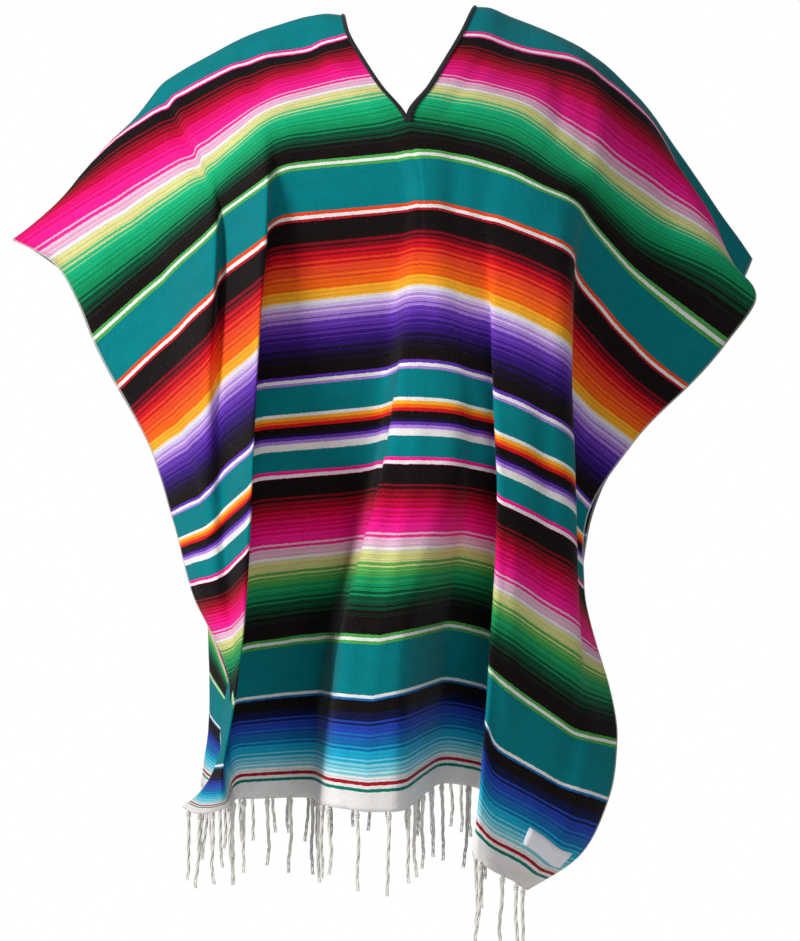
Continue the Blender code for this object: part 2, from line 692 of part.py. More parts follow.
def strand_faces(points, root, strand):
    """Draws one strand down from four points of the strip: adds points, returns its faces."""
    ring = np.array([points[k] for k in root])
    heart = ring.mean(axis=0)
    along = (ring[2] + ring[3] - ring[0] - ring[1]) / 2
    across = (ring[0] + ring[3] - ring[1] - ring[2]) / 2
    along, across = along / np.linalg.norm(along), across / np.linalg.norm(across)
    length = STRAND_LENGTH * (1 + LENGTH_SPREAD * sway(3, strand))
    faces = []
    previous = list(root)
    for share in STRAND_STEPS:
        width = STRAND_WIDTH + (STRAND_END_WIDTH - STRAND_WIDTH) * share
        wave = STRAND_WAVE * math.sin(WAVE_TURNS * share + strand)
        swing = STRAND_SWAY * share * (sway(1, strand) + wave)
        place = heart + SWAY_DIRECTION * swing - np.array([0.0, 0.0, length * share])
        ring_start = len(points)
        for s, t in ((-1, 1), (-1, -1), (1, -1), (1, 1)):
            points.append(place + along * s * width / 2 + across * t * WALL / 2)
        current = list(range(ring_start, ring_start + 4))
        for k in range(4):
            j = (k + 1) % 4
            faces.append([previous[k], previous[j], current[j], current[k]])
        previous = current
    faces.append(previous)
    return faces


def care_label(cloth):
    """A blank label on the front's right hem corner, made from the panel's own points."""
    rows = [r for r in range(cloth.rows - 1)
            if LABEL_FIRST_LEVEL <= cloth.along[r] and cloth.along[r + 1] <= LABEL_LAST_LEVEL]
    columns = range(cloth.columns - LABEL_COLUMNS[0], cloth.columns - LABEL_COLUMNS[1])
    quads = [
        (cloth.index(r, c), cloth.index(r + 1, c), cloth.index(r + 1, c + 1), cloth.index(r, c + 1))
        for r in rows for c in columns]
    lift = WALL / 2 + SEAM_GAP + LABEL_THICKNESS / 2
    return sheet_solid(
        "care_label", cloth.points.reshape(-1, 3), cloth.normals.reshape(-1, 3), quads,
        LABEL_THICKNESS, lift)


def main():
    """Clears the scene and builds the six pieces."""
    for leftover in list(bpy.data.objects):
        bpy.data.objects.remove(leftover, do_unlink=True)
    cloth = Cloth()
    last = cloth.rows - 1
    dress(panel(cloth, "cloth_front", cloth.shoulder, last), WOVEN_TEAL)
    dress(panel(cloth, "cloth_back", 0, cloth.shoulder), WOVEN_RED)
    dress(neck_binding(cloth), BLACK_TAPE)
    dress(fringe(cloth, "front_fringe", last, last - 1), WHITE_YARN)
    dress(fringe(cloth, "back_fringe", 0, 1), WHITE_YARN)
    dress(care_label(cloth), WHITE_SATIN)


main()
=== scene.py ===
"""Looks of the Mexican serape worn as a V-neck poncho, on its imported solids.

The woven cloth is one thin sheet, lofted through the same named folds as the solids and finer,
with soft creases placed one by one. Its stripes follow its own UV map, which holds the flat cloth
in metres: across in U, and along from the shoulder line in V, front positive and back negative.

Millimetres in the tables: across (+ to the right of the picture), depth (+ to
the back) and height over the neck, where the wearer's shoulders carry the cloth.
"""

import logging
import math
from dataclasses import dataclass, field
from enum import Enum
from typing import Any

import bmesh
import bpy
import numpy as np
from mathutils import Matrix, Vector

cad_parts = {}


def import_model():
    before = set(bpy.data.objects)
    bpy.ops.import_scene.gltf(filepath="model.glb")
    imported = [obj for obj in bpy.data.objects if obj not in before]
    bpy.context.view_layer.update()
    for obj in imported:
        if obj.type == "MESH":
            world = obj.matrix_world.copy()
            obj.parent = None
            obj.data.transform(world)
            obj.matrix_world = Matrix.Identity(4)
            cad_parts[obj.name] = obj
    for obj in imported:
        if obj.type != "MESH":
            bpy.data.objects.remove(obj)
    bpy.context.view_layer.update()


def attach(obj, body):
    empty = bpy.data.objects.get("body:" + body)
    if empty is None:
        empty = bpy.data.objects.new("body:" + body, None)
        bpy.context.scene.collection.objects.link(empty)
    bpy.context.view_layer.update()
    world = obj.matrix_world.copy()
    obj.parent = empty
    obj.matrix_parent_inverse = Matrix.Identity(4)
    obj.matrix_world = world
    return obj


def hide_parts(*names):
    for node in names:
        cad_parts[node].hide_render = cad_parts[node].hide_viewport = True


log = logging.getLogger("serape")

MM = 0.001
Place = tuple[float, float, float]
Pins = dict[str, Place]
Colour = tuple[float, float, float, float]
# The UV map that holds the flat cloth in metres
FLAT_MAP = "flat_cloth"
# At each end, a crease grows to its full depth over its length divided by this
CREASE_RAMP = 3.2
# Width of the cut in millimetres
FLAT_WIDTH = 880.0
# Width beside the neck slit over which the waves grow, in millimetres
CALM_WIDTH = 60.0

# Distance along the cloth from the shoulder line to each named stripe level
LEVELS: dict[str, float] = {
    "shoulder": 0.0, "pink": 45.0, "elbow": 90.0, "yellow": 130.0, "slit": 183.0,
    "breast": 220.0, "chest": 365.0, "belt": 455.0, "waist": 544.0, "hip": 719.0,
    "thigh": 785.0, "border": 848.0, "hem": 912.0,
}
FRONT_LEVELS = tuple(LEVELS)
BACK_LEVELS = ("pink", "yellow", "slit", "breast", "chest", "waist", "hip", "hem")
# The levels at which every fold of the front, or of the back, has a place
FRONT_PINNED = (
    "shoulder", "pink", "elbow", "yellow", "breast", "chest", "waist", "hip", "thigh", "hem")
BACK_PINNED = ("pink", "yellow", "breast", "chest", "waist", "hip", "hem")


class Half(Enum):
    """The two halves of the cloth, to the left and right of the neck slit in the picture."""

    LEFT = "left"
    RIGHT = "right"


@dataclass(frozen=True)
class Fold:
    """A line down the cloth.

    Attributes:
        name: Where it is.
        softness: How round it is: the share of the span on each side that its curve takes.
        places: One place for each level in FRONT_PINNED or BACK_PINNED.
        more: Places at further levels, by name.
    """

    name: str
    softness: float
    places: tuple[Place, ...]
    more: Pins = field(default_factory=dict)

    def at(self, pinned: tuple[str, ...], names: tuple[str, ...]) -> np.ndarray:
        """Its places at the named levels, where its own belong to the pinned ones."""
        found = dict(zip(pinned, self.places, strict=True)) | self.more
        return at_levels({name: found[name] for name in LEVELS if name in found}, names)


@dataclass(frozen=True)
class Crease:
    """A soft trough (depth under 0) or ridge (over 0) along a path on the cloth.

    Attributes:
        name: Where it is.
        half: The half of the cloth that it lies on.
        path: (place among the folds, distance along the cloth) pairs; 0 is the middle
            line, 1 the first fold from it, and so on.
        width: Half width in millimetres.
        depth: Millimetres out of the cloth, or into it where it is under 0.
    """

    name: str
    half: Half
    path: tuple[tuple[float, float], ...]
    width: float
    depth: float


@dataclass(frozen=True)
class Wave:
    """The product of two slanted sine waves over the flat cloth.

    Attributes:
        share: Its height beside the others'.
        first: The first wave's angle for each metre across and along, and its start.
        second: The same of the second wave.
    """

    share: float
    first: tuple[float, float, float]
    second: tuple[float, float, float]


WAVES: tuple[Wave, ...] = (
    Wave(1.0, (31, 9, 0.6), (2.1, 13, 1.0)),
    Wave(0.6, (57, -17, 1.9), (5, 23, 0.0)),
    Wave(0.35, (96, 41, 0.0), (-12, 61, 0.7)),
)

# The front's left half, from the selvage to the middle
FRONT_LEFT: tuple[Fold, ...] = (
    Fold("left_selvage", 0.0, (
        (-364, 140, -272), (-405, 120, -241), (-423, 85, -233), (-378, 50, -257), (-335, 50, -339),
        (-265, -5, -464), (-219, -110, -595), (-174, -170, -715), (-189, -165, -774), (-228, -85, -824))),
    Fold("left_arm", 0.45, (
        (-335, 100, -163), (-333, 65, -138), (-309, 25, -165), (-286, 0, -204), (-264, 10, -281),
        (-233, -50, -443), (-207, -135, -592), (-174, -178, -714), (-188, -173, -773), (-220, -100, -827))),
    Fold("left_wing", 0.35, (
        (-261, 58, -68), (-251, 22, -90), (-233, -5, -128), (-214, -35, -164), (-194, -85, -232),
        (-203, -105, -422), (-191, -160, -587), (-172, -186, -712), (-186, -182, -772), (-212, -118, -827))),
    Fold("left_crease", 0.35, (
        (-240, 52, -56), (-230, 14, -79), (-216, -14, -117), (-199, -45, -154), (-192, -62, -217),
        (-189, -80, -391), (-178, -150, -580), (-170, -202, -709), (-183, -199, -770), (-196, -150, -823))),
    Fold("left_edge", 0.28, (
        (-186, 32, -29), (-178, -10, -55), (-165, -46, -91), (-153, -80, -121), (-140, -128, -188),
        (-144, -172, -363), (-152, -205, -557), (-167, -218, -705), (-178, -215, -768), (-176, -178, -813))),
    Fold("left_tuck", 0.35, (
        (-168, 27, -21), (-161, -14, -50), (-149, -50, -85), (-137, -82, -112), (-134, -110, -179),
        (-160, -98, -339), (-170, -112, -516), (-177, -112, -682), (-188, -110, -743), (-172, -112, -813))),
    Fold("left_panel", 0.35, (
        (-151, 22, -15), (-142, -18, -46), (-132, -54, -79), (-120, -85, -107), (-117, -111, -172),
        (-149, -116, -317), (-157, -130, -487), (-168, -126, -657), (-179, -120, -712), (-165, -114, -813))),
    Fold("valley", 0.25, (
        (-107, 10, -4), (-98, -26, -42), (-88, -60, -69), (-72, -90, -96), (-10, -114, -162),
        (-10, -108, -301), (-37, -75, -477), (-80, -61, -650), (-89, -55, -708), (-97, -49, -818))),
    Fold("crest", 0.35, (
        (-84, 4, -1), (-77, -34, -34), (-65, -66, -64), (-49, -94, -92), (0, -124, -161),
        (3, -132, -297), (-18, -165, -470), (-60, -188, -644), (-67, -192, -701), (-78, -200, -810))),
)
SLIT_FRONT_LEFT: Pins = {
    "shoulder": (-65, 0, -4), "pink": (-59, -38, -29), "elbow": (-43, -68, -60),
    "yellow": (-26, -95, -89), "slit": (1, -117, -126)}
SLIT_FRONT_RIGHT: Pins = {
    "shoulder": (72, 0, 5), "pink": (57, -38, -28), "elbow": (40, -68, -60),
    "yellow": (24, -95, -89), "slit": (1, -117, -126)}
MIDDLE_FRONT: Pins = {
    "slit": (1, -117, -126), "breast": (10, -127, -160), "chest": (16, -134, -296),
    "waist": (6, -172, -470), "hip": (-26, -196, -645), "thigh": (-33, -200, -703),
    "hem": (-40, -206, -815)}
# The front's right half, from the middle to the selvage
FRONT_RIGHT: tuple[Fold, ...] = (
    Fold("brow", 0.35, (
        (89, 4, 5), (83, -35, -28), (70, -66, -62), (57, -93, -92), (34, -125, -161),
        (42, -134, -300), (46, -165, -471), (2, -190, -640), (-2, -195, -697), (-3, -205, -815))),
    Fold("recess", 0.4, (
        (109, 8, -4), (106, -30, -37), (99, -62, -72), (92, -90, -100), (59, -120, -165),
        (62, -128, -307), (68, -140, -475), (47, -95, -635), (41, -80, -691), (35, -55, -801))),
    Fold("right_tuck", 0.35, (
        (129, 10, -11), (129, -26, -43), (128, -58, -78), (122, -86, -108), (85, -116, -172),
        (87, -118, -313), (97, -118, -481), (93, -82, -648), (90, -68, -704), (85, -50, -810))),
    Fold("right_edge", 0.28, (
        (148, 12, -18), (150, -24, -44), (153, -54, -85), (149, -84, -125), (109, -116, -180),
        (86, -134, -317), (89, -180, -507), (81, -188, -675), (78, -192, -727), (65, -212, -858))),
    Fold("right_crease", 0.35, (
        (165, 16, -25), (171, -18, -48), (176, -48, -97), (172, -80, -144), (135, -112, -193),
        (116, -136, -328), (115, -172, -519), (98, -176, -692), (87, -184, -752), (82, -210, -871))),
    Fold("right_panel", 0.42, (
        (188, 22, -35), (195, -10, -60), (201, -40, -110), (193, -72, -161), (174, -100, -207),
        (172, -128, -357), (177, -130, -551), (166, -135, -741), (154, -150, -792), (104, -190, -884))),
    Fold("right_pocket", 0.35, (
        (212, 32, -50), (221, 6, -77), (229, -22, -129), (223, -52, -180), (191, -60, -226),
        (160, -30, -385), (164, -70, -573), (185, -120, -748), (174, -140, -800), (111, -170, -891)), {
            "border": (153, -154, -857)}),
    Fold("right_wing", 0.4, (
        (261, 55, -97), (266, 36, -113), (272, 8, -153), (265, -15, -203), (236, -15, -270),
        (195, 0, -420), (176, -50, -589), (201, -100, -753), (190, -125, -806), (117, -150, -897)), {
            "belt": (175, -21, -507), "border": (165, -137, -862)}),
    Fold("right_arm", 0.45, (
        (322, 80, -178), (316, 52, -205), (317, 22, -196), (325, 5, -234), (292, 15, -310),
        (218, 5, -436), (180, -42, -596), (209, -90, -756), (198, -115, -810), (119, -140, -899)), {
            "slit": (322, 8, -270), "belt": (182, -16, -516), "border": (172, -126, -866)}),
    Fold("right_selvage", 0.0, (
        (376, 105, -252), (362, 80, -276), (350, 52, -267), (353, 45, -268), (343, 50, -344),
        (240, 10, -452), (185, -35, -601), (216, -80, -758), (205, -105, -813), (122, -130, -902)), {
            "slit": (372, 42, -302), "belt": (191, -13, -526), "border": (176, -116, -868)}),
)

# The back's left half, from the selvage to the middle: no side of it shows but one fold
BACK_LEFT: tuple[Fold, ...] = (
    Fold("left_selvage", 0.0, (
        (-332, 140, -302), (-290, 125, -376), (-268, 105, -444), (-236, 60, -542),
        (-205, 0, -643), (-176, -50, -731), (-188, -30, -815))),
    Fold("left_arm", 0.45, (
        (-325, 130, -196), (-299, 150, -272), (-271, 150, -332), (-241, 120, -465),
        (-216, 75, -599), (-198, 10, -708), (-207, 15, -822))),
    Fold("left_fold", 0.4, (
        (-268, 100, -117), (-259, 135, -196), (-247, 150, -277), (-231, 140, -432),
        (-220, 100, -579), (-213, 60, -692), (-222, 62, -818))),
    Fold("left_inner", 0.45, (
        (-225, 72, -69), (-219, 118, -143), (-214, 140, -228), (-203, 150, -398),
        (-190, 125, -563), (-186, 110, -682), (-193, 105, -812))),
    Fold("left_pleat", 0.4, (
        (-183, 50, -50), (-178, 105, -122), (-174, 130, -209), (-160, 165, -372),
        (-149, 168, -553), (-146, 178, -679), (-152, 190, -814))),
    Fold("left_dip", 0.45, (
        (-147, 40, -36), (-139, 95, -107), (-130, 120, -197), (-116, 130, -366),
        (-105, 120, -541), (-102, 115, -666), (-107, 110, -800))),
    Fold("left_ridge", 0.4, (
        (-106, 38, -26), (-93, 98, -99), (-78, 132, -191), (-62, 160, -357),
        (-60, 166, -536), (-60, 172, -670), (-62, 180, -808))),
    Fold("middle_dip", 0.45, (
        (-83, 40, -26), (-61, 95, -89), (-28, 118, -186), (-23, 125, -352),
        (-20, 120, -527), (-20, 112, -657), (-17, 108, -797))),
)
SLIT_BACK_LEFT: Pins = {"pink": (-62, 38, -26), "yellow": (-31, 90, -82), "slit": (1, 112, -125)}
SLIT_BACK_RIGHT: Pins = {"pink": (66, 38, -26), "yellow": (36, 90, -82), "slit": (1, 112, -125)}
MIDDLE_BACK: Pins = {
    "slit": (1, 112, -125), "breast": (3, 122, -182), "chest": (7, 138, -351),
    "waist": (9, 150, -527), "hip": (11, 158, -660), "hem": (13, 165, -803)}
# The back's right half, from the middle to the selvage
BACK_RIGHT: tuple[Fold, ...] = (
    Fold("right_dip", 0.45, (
        (86, 38, -26), (61, 95, -87), (37, 120, -186), (44, 124, -356),
        (46, 112, -530), (48, 98, -661), (48, 90, -800))),
    Fold("right_ridge", 0.4, (
        (109, 40, -28), (102, 98, -99), (90, 134, -194), (91, 168, -362),
        (89, 184, -536), (87, 196, -670), (85, 208, -810))),
    Fold("side_dip", 0.45, (
        (151, 42, -38), (151, 100, -118), (138, 122, -213), (131, 118, -380),
        (124, 98, -552), (122, 80, -679), (118, 68, -808))),
    Fold("right_pleat", 0.4, (
        (199, 60, -57), (201, 118, -148), (187, 138, -248), (168, 162, -404),
        (153, 164, -569), (147, 164, -695), (142, 160, -813))),
    Fold("right_wing", 0.45, (
        (266, 85, -112), (258, 125, -208), (235, 135, -311), (190, 115, -459),
        (168, 85, -605), (165, 60, -717), (160, 50, -810))),
    Fold("right_arm", 0.45, (
        (320, 122, -184), (299, 135, -276), (266, 115, -361), (198, 75, -486),
        (174, 30, -619), (178, 10, -723), (162, 10, -811))),
    Fold("right_selvage", 0.0, (
        (371, 138, -272), (332, 125, -342), (286, 90, -400), (213, 45, -492),
        (182, -10, -617), (191, -30, -733), (161, -20, -814))),
)


def through(stations: Any, values: Any, at: Any) -> np.ndarray:
    """Reads a smooth curve through values at rising stations.

    Args:
        stations: Where the values lie.
        values: One value, point or section at each station.
        at: The places wanted.

    Returns:
        The values there, on a cubic whose slopes are those of its neighbours.
    """
    stations = np.asarray(stations, float)
    values = np.asarray(values, float)
    flat = values.reshape(len(stations), -1)
    step = np.diff(stations)[:, None]
    rise = np.diff(flat, axis=0) / step
    slope = np.empty_like(flat)
    slope[0], slope[-1] = rise[0], rise[-1]
    before, after = step[:-1], step[1:]
    slope[1:-1] = (rise[:-1] * after + rise[1:] * before) / (before + after)
    cell = np.clip(np.searchsorted(stations, at, side="right") - 1, 0, len(stations) - 2)
    width = step[cell]
    t = (np.asarray(at, float)[:, None] - stations[cell][:, None]) / width
    low = (1 + 2 * t) * (1 - t) ** 2 * flat[cell] + t * (1 - t) ** 2 * width * slope[cell]
    high = t**2 * (3 - 2 * t) * flat[cell + 1] - t**2 * (1 - t) * width * slope[cell + 1]
    return (low + high).reshape((len(at),) + values.shape[1:])


def at_levels(pins: Pins, names: Any) -> np.ndarray:
    """The places of a line at the named levels, read from its own pins in their order."""
    known = [LEVELS[name] for name in pins]
    return through(known, list(pins.values()), [LEVELS[name] for name in names])


def distances(path: np.ndarray) -> np.ndarray:
    """Distance along a path to each of its points."""
    return np.concatenate([[0.0], np.cumsum(np.linalg.norm(np.diff(path, axis=0), axis=1))])


def place_at(path: np.ndarray, along: Any, values: np.ndarray | None = None) -> np.ndarray:
    """The points of a path (or the values kept at its points) at given distances along it."""
    kept = path if values is None else values
    known = distances(path)
    return np.stack([np.interp(along, known, kept[:, k]) for k in range(3)], axis=1)


def unit(vectors: np.ndarray) -> np.ndarray:
    """Each vector at length one."""
    return vectors / np.maximum(np.linalg.norm(vectors, axis=-1, keepdims=True), 1e-9)


def grid_quads(number: np.ndarray) -> np.ndarray:
    """The four point numbers of each cell, from a grid of point numbers."""
    return np.stack([number[:-1, :-1], number[1:, :-1], number[1:, 1:], number[:-1, 1:]], axis=2)


def uneven(number: float, item: float) -> float:
    """A repeatable uneven value between -1 and 1."""
    return math.sin(12.9898 * (item + 1) + 78.233 * number) * math.cos(4.7 * item + number)


@dataclass
class Section:
    """How finely one section of the cloth is rounded through its folds.

    Attributes:
        steps: Points on each rounded corner.
        spans: Extra points on each straight span.
        balance: How many times a short span's share a curve may reach into a long one.
    """

    steps: int = 6
    spans: int = 4
    balance: float = 1.5

    def places(self, softness: list[float]) -> np.ndarray:
        """Where each point of a section lies among its folds (0 the middle, 1 the first fold)."""
        last = len(softness) - 1
        found = [0.0]
        leave = 0.0
        for i in range(1, last + 1):
            enter = i - softness[i] if i < last else float(i)
            found += [leave + (enter - leave) * k / (self.spans + 1) for k in range(1, self.spans + 1)]
            if i == last:
                found.append(float(i))
                break
            leave = i + softness[i]
            found += [enter + (leave - enter) * k / (self.steps - 1) for k in range(self.steps)]
        return np.array(found)

    def points(self, corners: np.ndarray, softness: list[float]) -> np.ndarray:
        """The section's points: straight between folds, with a quadratic curve at each fold.

        Args:
            corners: Corner points, one row each.
            softness: For each corner, the share of its two spans that the curve takes.
                Beside a short span, it takes less of a long one.

        Returns:
            One point for each value of places().
        """
        length = np.linalg.norm(np.diff(corners, axis=0), axis=1)
        last = len(corners) - 1
        found = [corners[0]]
        leave = corners[0]
        for i in range(1, last + 1):
            ratio = length[i] / length[i - 1] if i < last else 0.0
            share = softness[i] * min(1.0, self.balance * ratio)
            enter = corners[i] + share * (corners[i - 1] - corners[i])
            pieces = self.spans + 1
            found += [leave + (enter - leave) * k / pieces for k in range(1, pieces)]
            if i == last:
                found.append(corners[i])
                break
            share = softness[i] * min(1.0, self.balance / ratio)
            leave = corners[i] + share * (corners[i + 1] - corners[i])
            for k in range(self.steps):
                t = k / (self.steps - 1)
                found.append((1 - t) ** 2 * enter + 2 * t * (1 - t) * corners[i] + t**2 * leave)
        return np.array(found)


@dataclass
class SerapeCloth:
    """The whole woven length as one thin sheet, split at the neck slit.

    Attributes:
        wall: Thickness of the cloth in millimetres.
        tape_column: Width of the first strip beside the slit, as in the solids.
        tape_share: The most of the first two strips that it takes.
        front_step: Distance between rows over the front.
        back_step: Distance between rows over the back.
        flat_width: Width of the cut.
        flat_length: Length of the cut; not used.
    """

    wall: float = 1.7
    tape_column: float = 11.0
    tape_share: float = 0.7
    front_step: float = 5.2
    back_step: float = 13.0
    flat_width: float = FLAT_WIDTH
    flat_length: float = 1800.0

    def __post_init__(self) -> None:
        """Lays out the sheet's points, its flat places and its creases."""
        self.section = Section()
        self.back_section = Section(steps=9, spans=4)
        hem, slit = LEVELS["hem"], LEVELS["slit"]
        lower = np.linspace(slit, hem, round((hem - slit) / self.front_step) + 1)
        upper = np.linspace(0.0, slit, round(slit / self.front_step) + 1)
        back_lower = np.linspace(slit, hem, round((hem - slit) / self.back_step) + 1)
        self.along = np.concatenate([-back_lower[::-1], -upper[1:-1][::-1], upper, lower[1:]])
        left, left_places = self._half(Half.LEFT)
        right, right_places = self._half(Half.RIGHT)
        self.middle = left.shape[1] - 1
        self.points = np.concatenate([left[:, ::-1], right], axis=1)
        self.places = np.concatenate([-left_places[::-1], right_places])
        self.rows, self.columns = self.points.shape[:2]
        self.joined = np.abs(self.along) >= slit - 1e-6
        self.across = self._flat_across()
        self.normals = self._normals()

    def _half(self, half: Half) -> tuple[np.ndarray, np.ndarray]:
        """Points[row, column] of one half from the middle out, and each column's place."""
        left = half is Half.LEFT
        front_folds = FRONT_LEFT[::-1] if left else FRONT_RIGHT
        back_folds = BACK_LEFT[::-1] if left else BACK_RIGHT
        front_slit = SLIT_FRONT_LEFT if left else SLIT_FRONT_RIGHT
        back_slit = SLIT_BACK_LEFT if left else SLIT_BACK_RIGHT
        softness = [0.0] + [fold.softness for fold in front_folds]
        edge = self._middle_edge(front_slit, MIDDLE_FRONT, FRONT_LEVELS)
        folded = [fold.at(FRONT_PINNED, FRONT_LEVELS) for fold in front_folds]
        corners = np.stack([edge] + folded, axis=1)
        front = [self._with_tape(self.section.points(row, softness)) for row in corners]
        shares = distances(front[0]) / distances(front[0])[-1]
        back_softness = [0.0] + [fold.softness for fold in back_folds]
        edge = self._middle_edge(back_slit, MIDDLE_BACK, BACK_LEVELS)
        folded = [fold.at(BACK_PINNED, BACK_LEVELS) for fold in back_folds]
        corners = np.stack([edge] + folded, axis=1)
        back = []
        for row in corners:
            curve = self.back_section.points(row, back_softness)
            back.append(self._with_tape(place_at(curve, shares * distances(curve)[-1])))
        stations = [-LEVELS[name] for name in reversed(BACK_LEVELS)]
        stations += [LEVELS[name] for name in FRONT_LEVELS]
        return through(stations, np.array(back[::-1] + front), self.along), self.section.places(softness)

    def _middle_edge(self, slit: Pins, middle: Pins, names: tuple[str, ...]) -> np.ndarray:
        """The inner end of each section: the slit's edge above its end, the middle line below."""
        upper = [name for name in names if LEVELS[name] <= LEVELS["slit"]]
        lower = [name for name in names if LEVELS[name] > LEVELS["slit"]]
        return np.concatenate([at_levels(slit, upper), at_levels(middle, lower)])

    def _with_tape(self, path: np.ndarray) -> np.ndarray:
        """Moves the points beside the slit so that one lies at the tape's own strip of cloth."""
        path = path.copy()
        path[1] = place_at(path, [min(self.tape_column, self.tape_share * distances(path)[2])])[0]
        return path

    def _flat_across(self) -> np.ndarray:
        """Distance of each point from the middle line, over the flat cut's half width."""
        across = np.zeros((self.rows, self.columns))
        for row in range(self.rows):
            left = distances(self.points[row, : self.middle + 1][::-1])
            right = distances(self.points[row, self.middle + 1 :])
            scale = self.flat_width / 2
            across[row, : self.middle + 1] = -(left / left[-1] * scale)[::-1]
            across[row, self.middle + 1 :] = right / right[-1] * scale
        return across

    def _normals(self) -> np.ndarray:
        """Outward direction at each point, shared by both copies of the middle column."""
        p = self.points
        total = np.zeros_like(p)
        facing = np.cross(p[1:, 1:] - p[:-1, :-1], p[:-1, 1:] - p[1:, :-1])
        facing[:, self.middle] = 0.0
        for rows in (slice(0, -1), slice(1, None)):
            for columns in (slice(0, -1), slice(1, None)):
                total[rows, columns] += facing
        shared = total[self.joined, self.middle] + total[self.joined, self.middle + 1]
        total[self.joined, self.middle] = total[self.joined, self.middle + 1] = shared
        return unit(total)

    def crease(self, marks: tuple[Crease, ...]) -> None:
        """Presses the listed creases into the sheet, then works its directions out again."""
        lift = np.zeros((self.rows, self.columns))
        for mark in marks:
            sign = -1.0 if mark.half is Half.LEFT else 1.0
            at = np.array([place for place, _ in mark.path]) * sign
            down = np.array([level for _, level in mark.path])
            order = np.argsort(down)
            at, down = at[order], down[order]
            span = down[-1] - down[0]
            for row in np.nonzero((self.along > down[0]) & (self.along < down[-1]))[0]:
                share = (self.along[row] - down[0]) / span
                strength = min(1.0, CREASE_RAMP * share, CREASE_RAMP * (1 - share))
                strength = strength * strength * (3 - 2 * strength)
                columns = slice(0, self.middle + 1) if sign < 0 else slice(self.middle + 1, None)
                centre = np.interp(np.interp(self.along[row], down, at),
                                   self.places[columns], self.across[row, columns])
                away = (self.across[row, columns] - centre) / mark.width
                lift[row, columns] += mark.depth * strength * np.exp(-away * away)
        self._raise(lift)

    def undulate(self, height: float) -> None:
        """Gives the hanging cloth long shallow waves, so that no panel is perfectly even.

        Args:
            height: Largest rise in millimetres.
        """
        u, v = self.across * MM, self.along[:, None] * MM
        wave = sum(item.share * np.sin(item.first[0] * u + item.first[1] * v + item.first[2])
                   * np.sin(item.second[0] * u + item.second[1] * v + item.second[2])
                   for item in WAVES)
        total = sum(item.share for item in WAVES)
        calm = np.clip(np.abs(self.across) / CALM_WIDTH, 0, 1)
        calm = np.where(np.abs(self.along[:, None]) < LEVELS["slit"], calm, 1.0)
        self._raise(wave / total * height * calm)

    def _raise(self, lift: np.ndarray) -> None:
        """Moves each point along its own direction, both copies of the middle alike."""
        shared = (lift[self.joined, self.middle] + lift[self.joined, self.middle + 1]) / 2
        lift[self.joined, self.middle] = lift[self.joined, self.middle + 1] = shared
        self.points = self.points + self.normals * lift[:, :, None]
        self.normals = self._normals()

    def build(self) -> bpy.types.Object:
        """The cloth as a mesh object with its flat places in metres as its UV map."""
        grid = np.arange(self.rows * self.columns).reshape(self.rows, self.columns)
        number = grid.copy()
        number[self.joined, self.middle + 1] = number[self.joined, self.middle]
        keep = np.ones((self.rows - 1, self.columns - 1), bool)
        keep[:, self.middle] = False
        along = np.broadcast_to(self.along[:, None], self.across.shape)
        flat = np.stack([self.across, along], axis=2).reshape(-1, 2)
        return make_piece("serape_cloth", self.points.reshape(-1, 3), grid_quads(number)[keep].tolist(),
                          flat[grid_quads(grid)[keep].reshape(-1)])

    def hem(self, side: int) -> tuple[np.ndarray, np.ndarray, np.ndarray]:
        """The front (1) or back (-1) hem: its points, its downward and its outward directions."""
        row, inner = (self.rows - 1, self.rows - 2) if side == 1 else (0, 1)
        columns = [k for k in range(self.columns) if k != self.middle + 1]
        edge = self.points[row][columns]
        return edge, unit(edge - self.points[inner][columns]), self.normals[row][columns]

    def patch(self, half: Half, first: float, last: float, top: float,
              bottom: float) -> tuple[slice, slice]:
        """Rows and columns of a patch of the front.

        Args:
            half: The half of the cloth.
            first: Place among the folds where it starts.
            last: Place among the folds where it ends.
            top: Distance along the cloth where it starts.
            bottom: Distance along the cloth where it ends.

        Returns:
            A slice of rows and a slice of columns.
        """
        sign = -1.0 if half is Half.LEFT else 1.0
        low, high = sorted((first * sign, last * sign))
        columns = np.nonzero((self.places >= low) & (self.places <= high))[0]
        rows = np.nonzero((self.along >= top) & (self.along <= bottom))[0]
        return slice(rows[0], rows[-1] + 1), slice(columns[0], columns[-1] + 1)


def linked(name: str, data: Any) -> bpy.types.Object:
    """A new object of this name and data, in the scene."""
    piece = bpy.data.objects.new(name, data)
    bpy.context.scene.collection.objects.link(piece)
    return piece


def make_piece(name: str, points: Any, faces: Any, flat: Any) -> bpy.types.Object:
    """A smooth-shaded mesh object at the origin.

    Args:
        name: Name of the piece.
        points: Points in millimetres.
        faces: Point numbers of each face.
        flat: For each corner of each face, its place on the flat cloth in millimetres.

    Returns:
        The object, linked to the scene.
    """
    mesh = bpy.data.meshes.new(name)
    mesh.from_pydata([tuple(point) for point in np.asarray(points) * MM], [], faces)
    layer = mesh.uv_layers.new(name=FLAT_MAP)
    layer.data.foreach_set("uv", (np.asarray(flat) * MM).astype(np.float32).reshape(-1))
    mesh.shade_smooth()
    return linked(name, mesh)


def baked(piece: bpy.types.Object) -> bpy.types.Object:
    """Turns a piece with modifiers into a plain mesh piece of the same name."""
    graph = bpy.context.evaluated_depsgraph_get()
    mesh = bpy.data.meshes.new_from_object(
        piece.evaluated_get(graph), preserve_all_data_layers=True, depsgraph=graph)
    name = piece.name
    bpy.data.objects.remove(piece, do_unlink=True)
    mesh.name = name
    return linked(name, mesh)


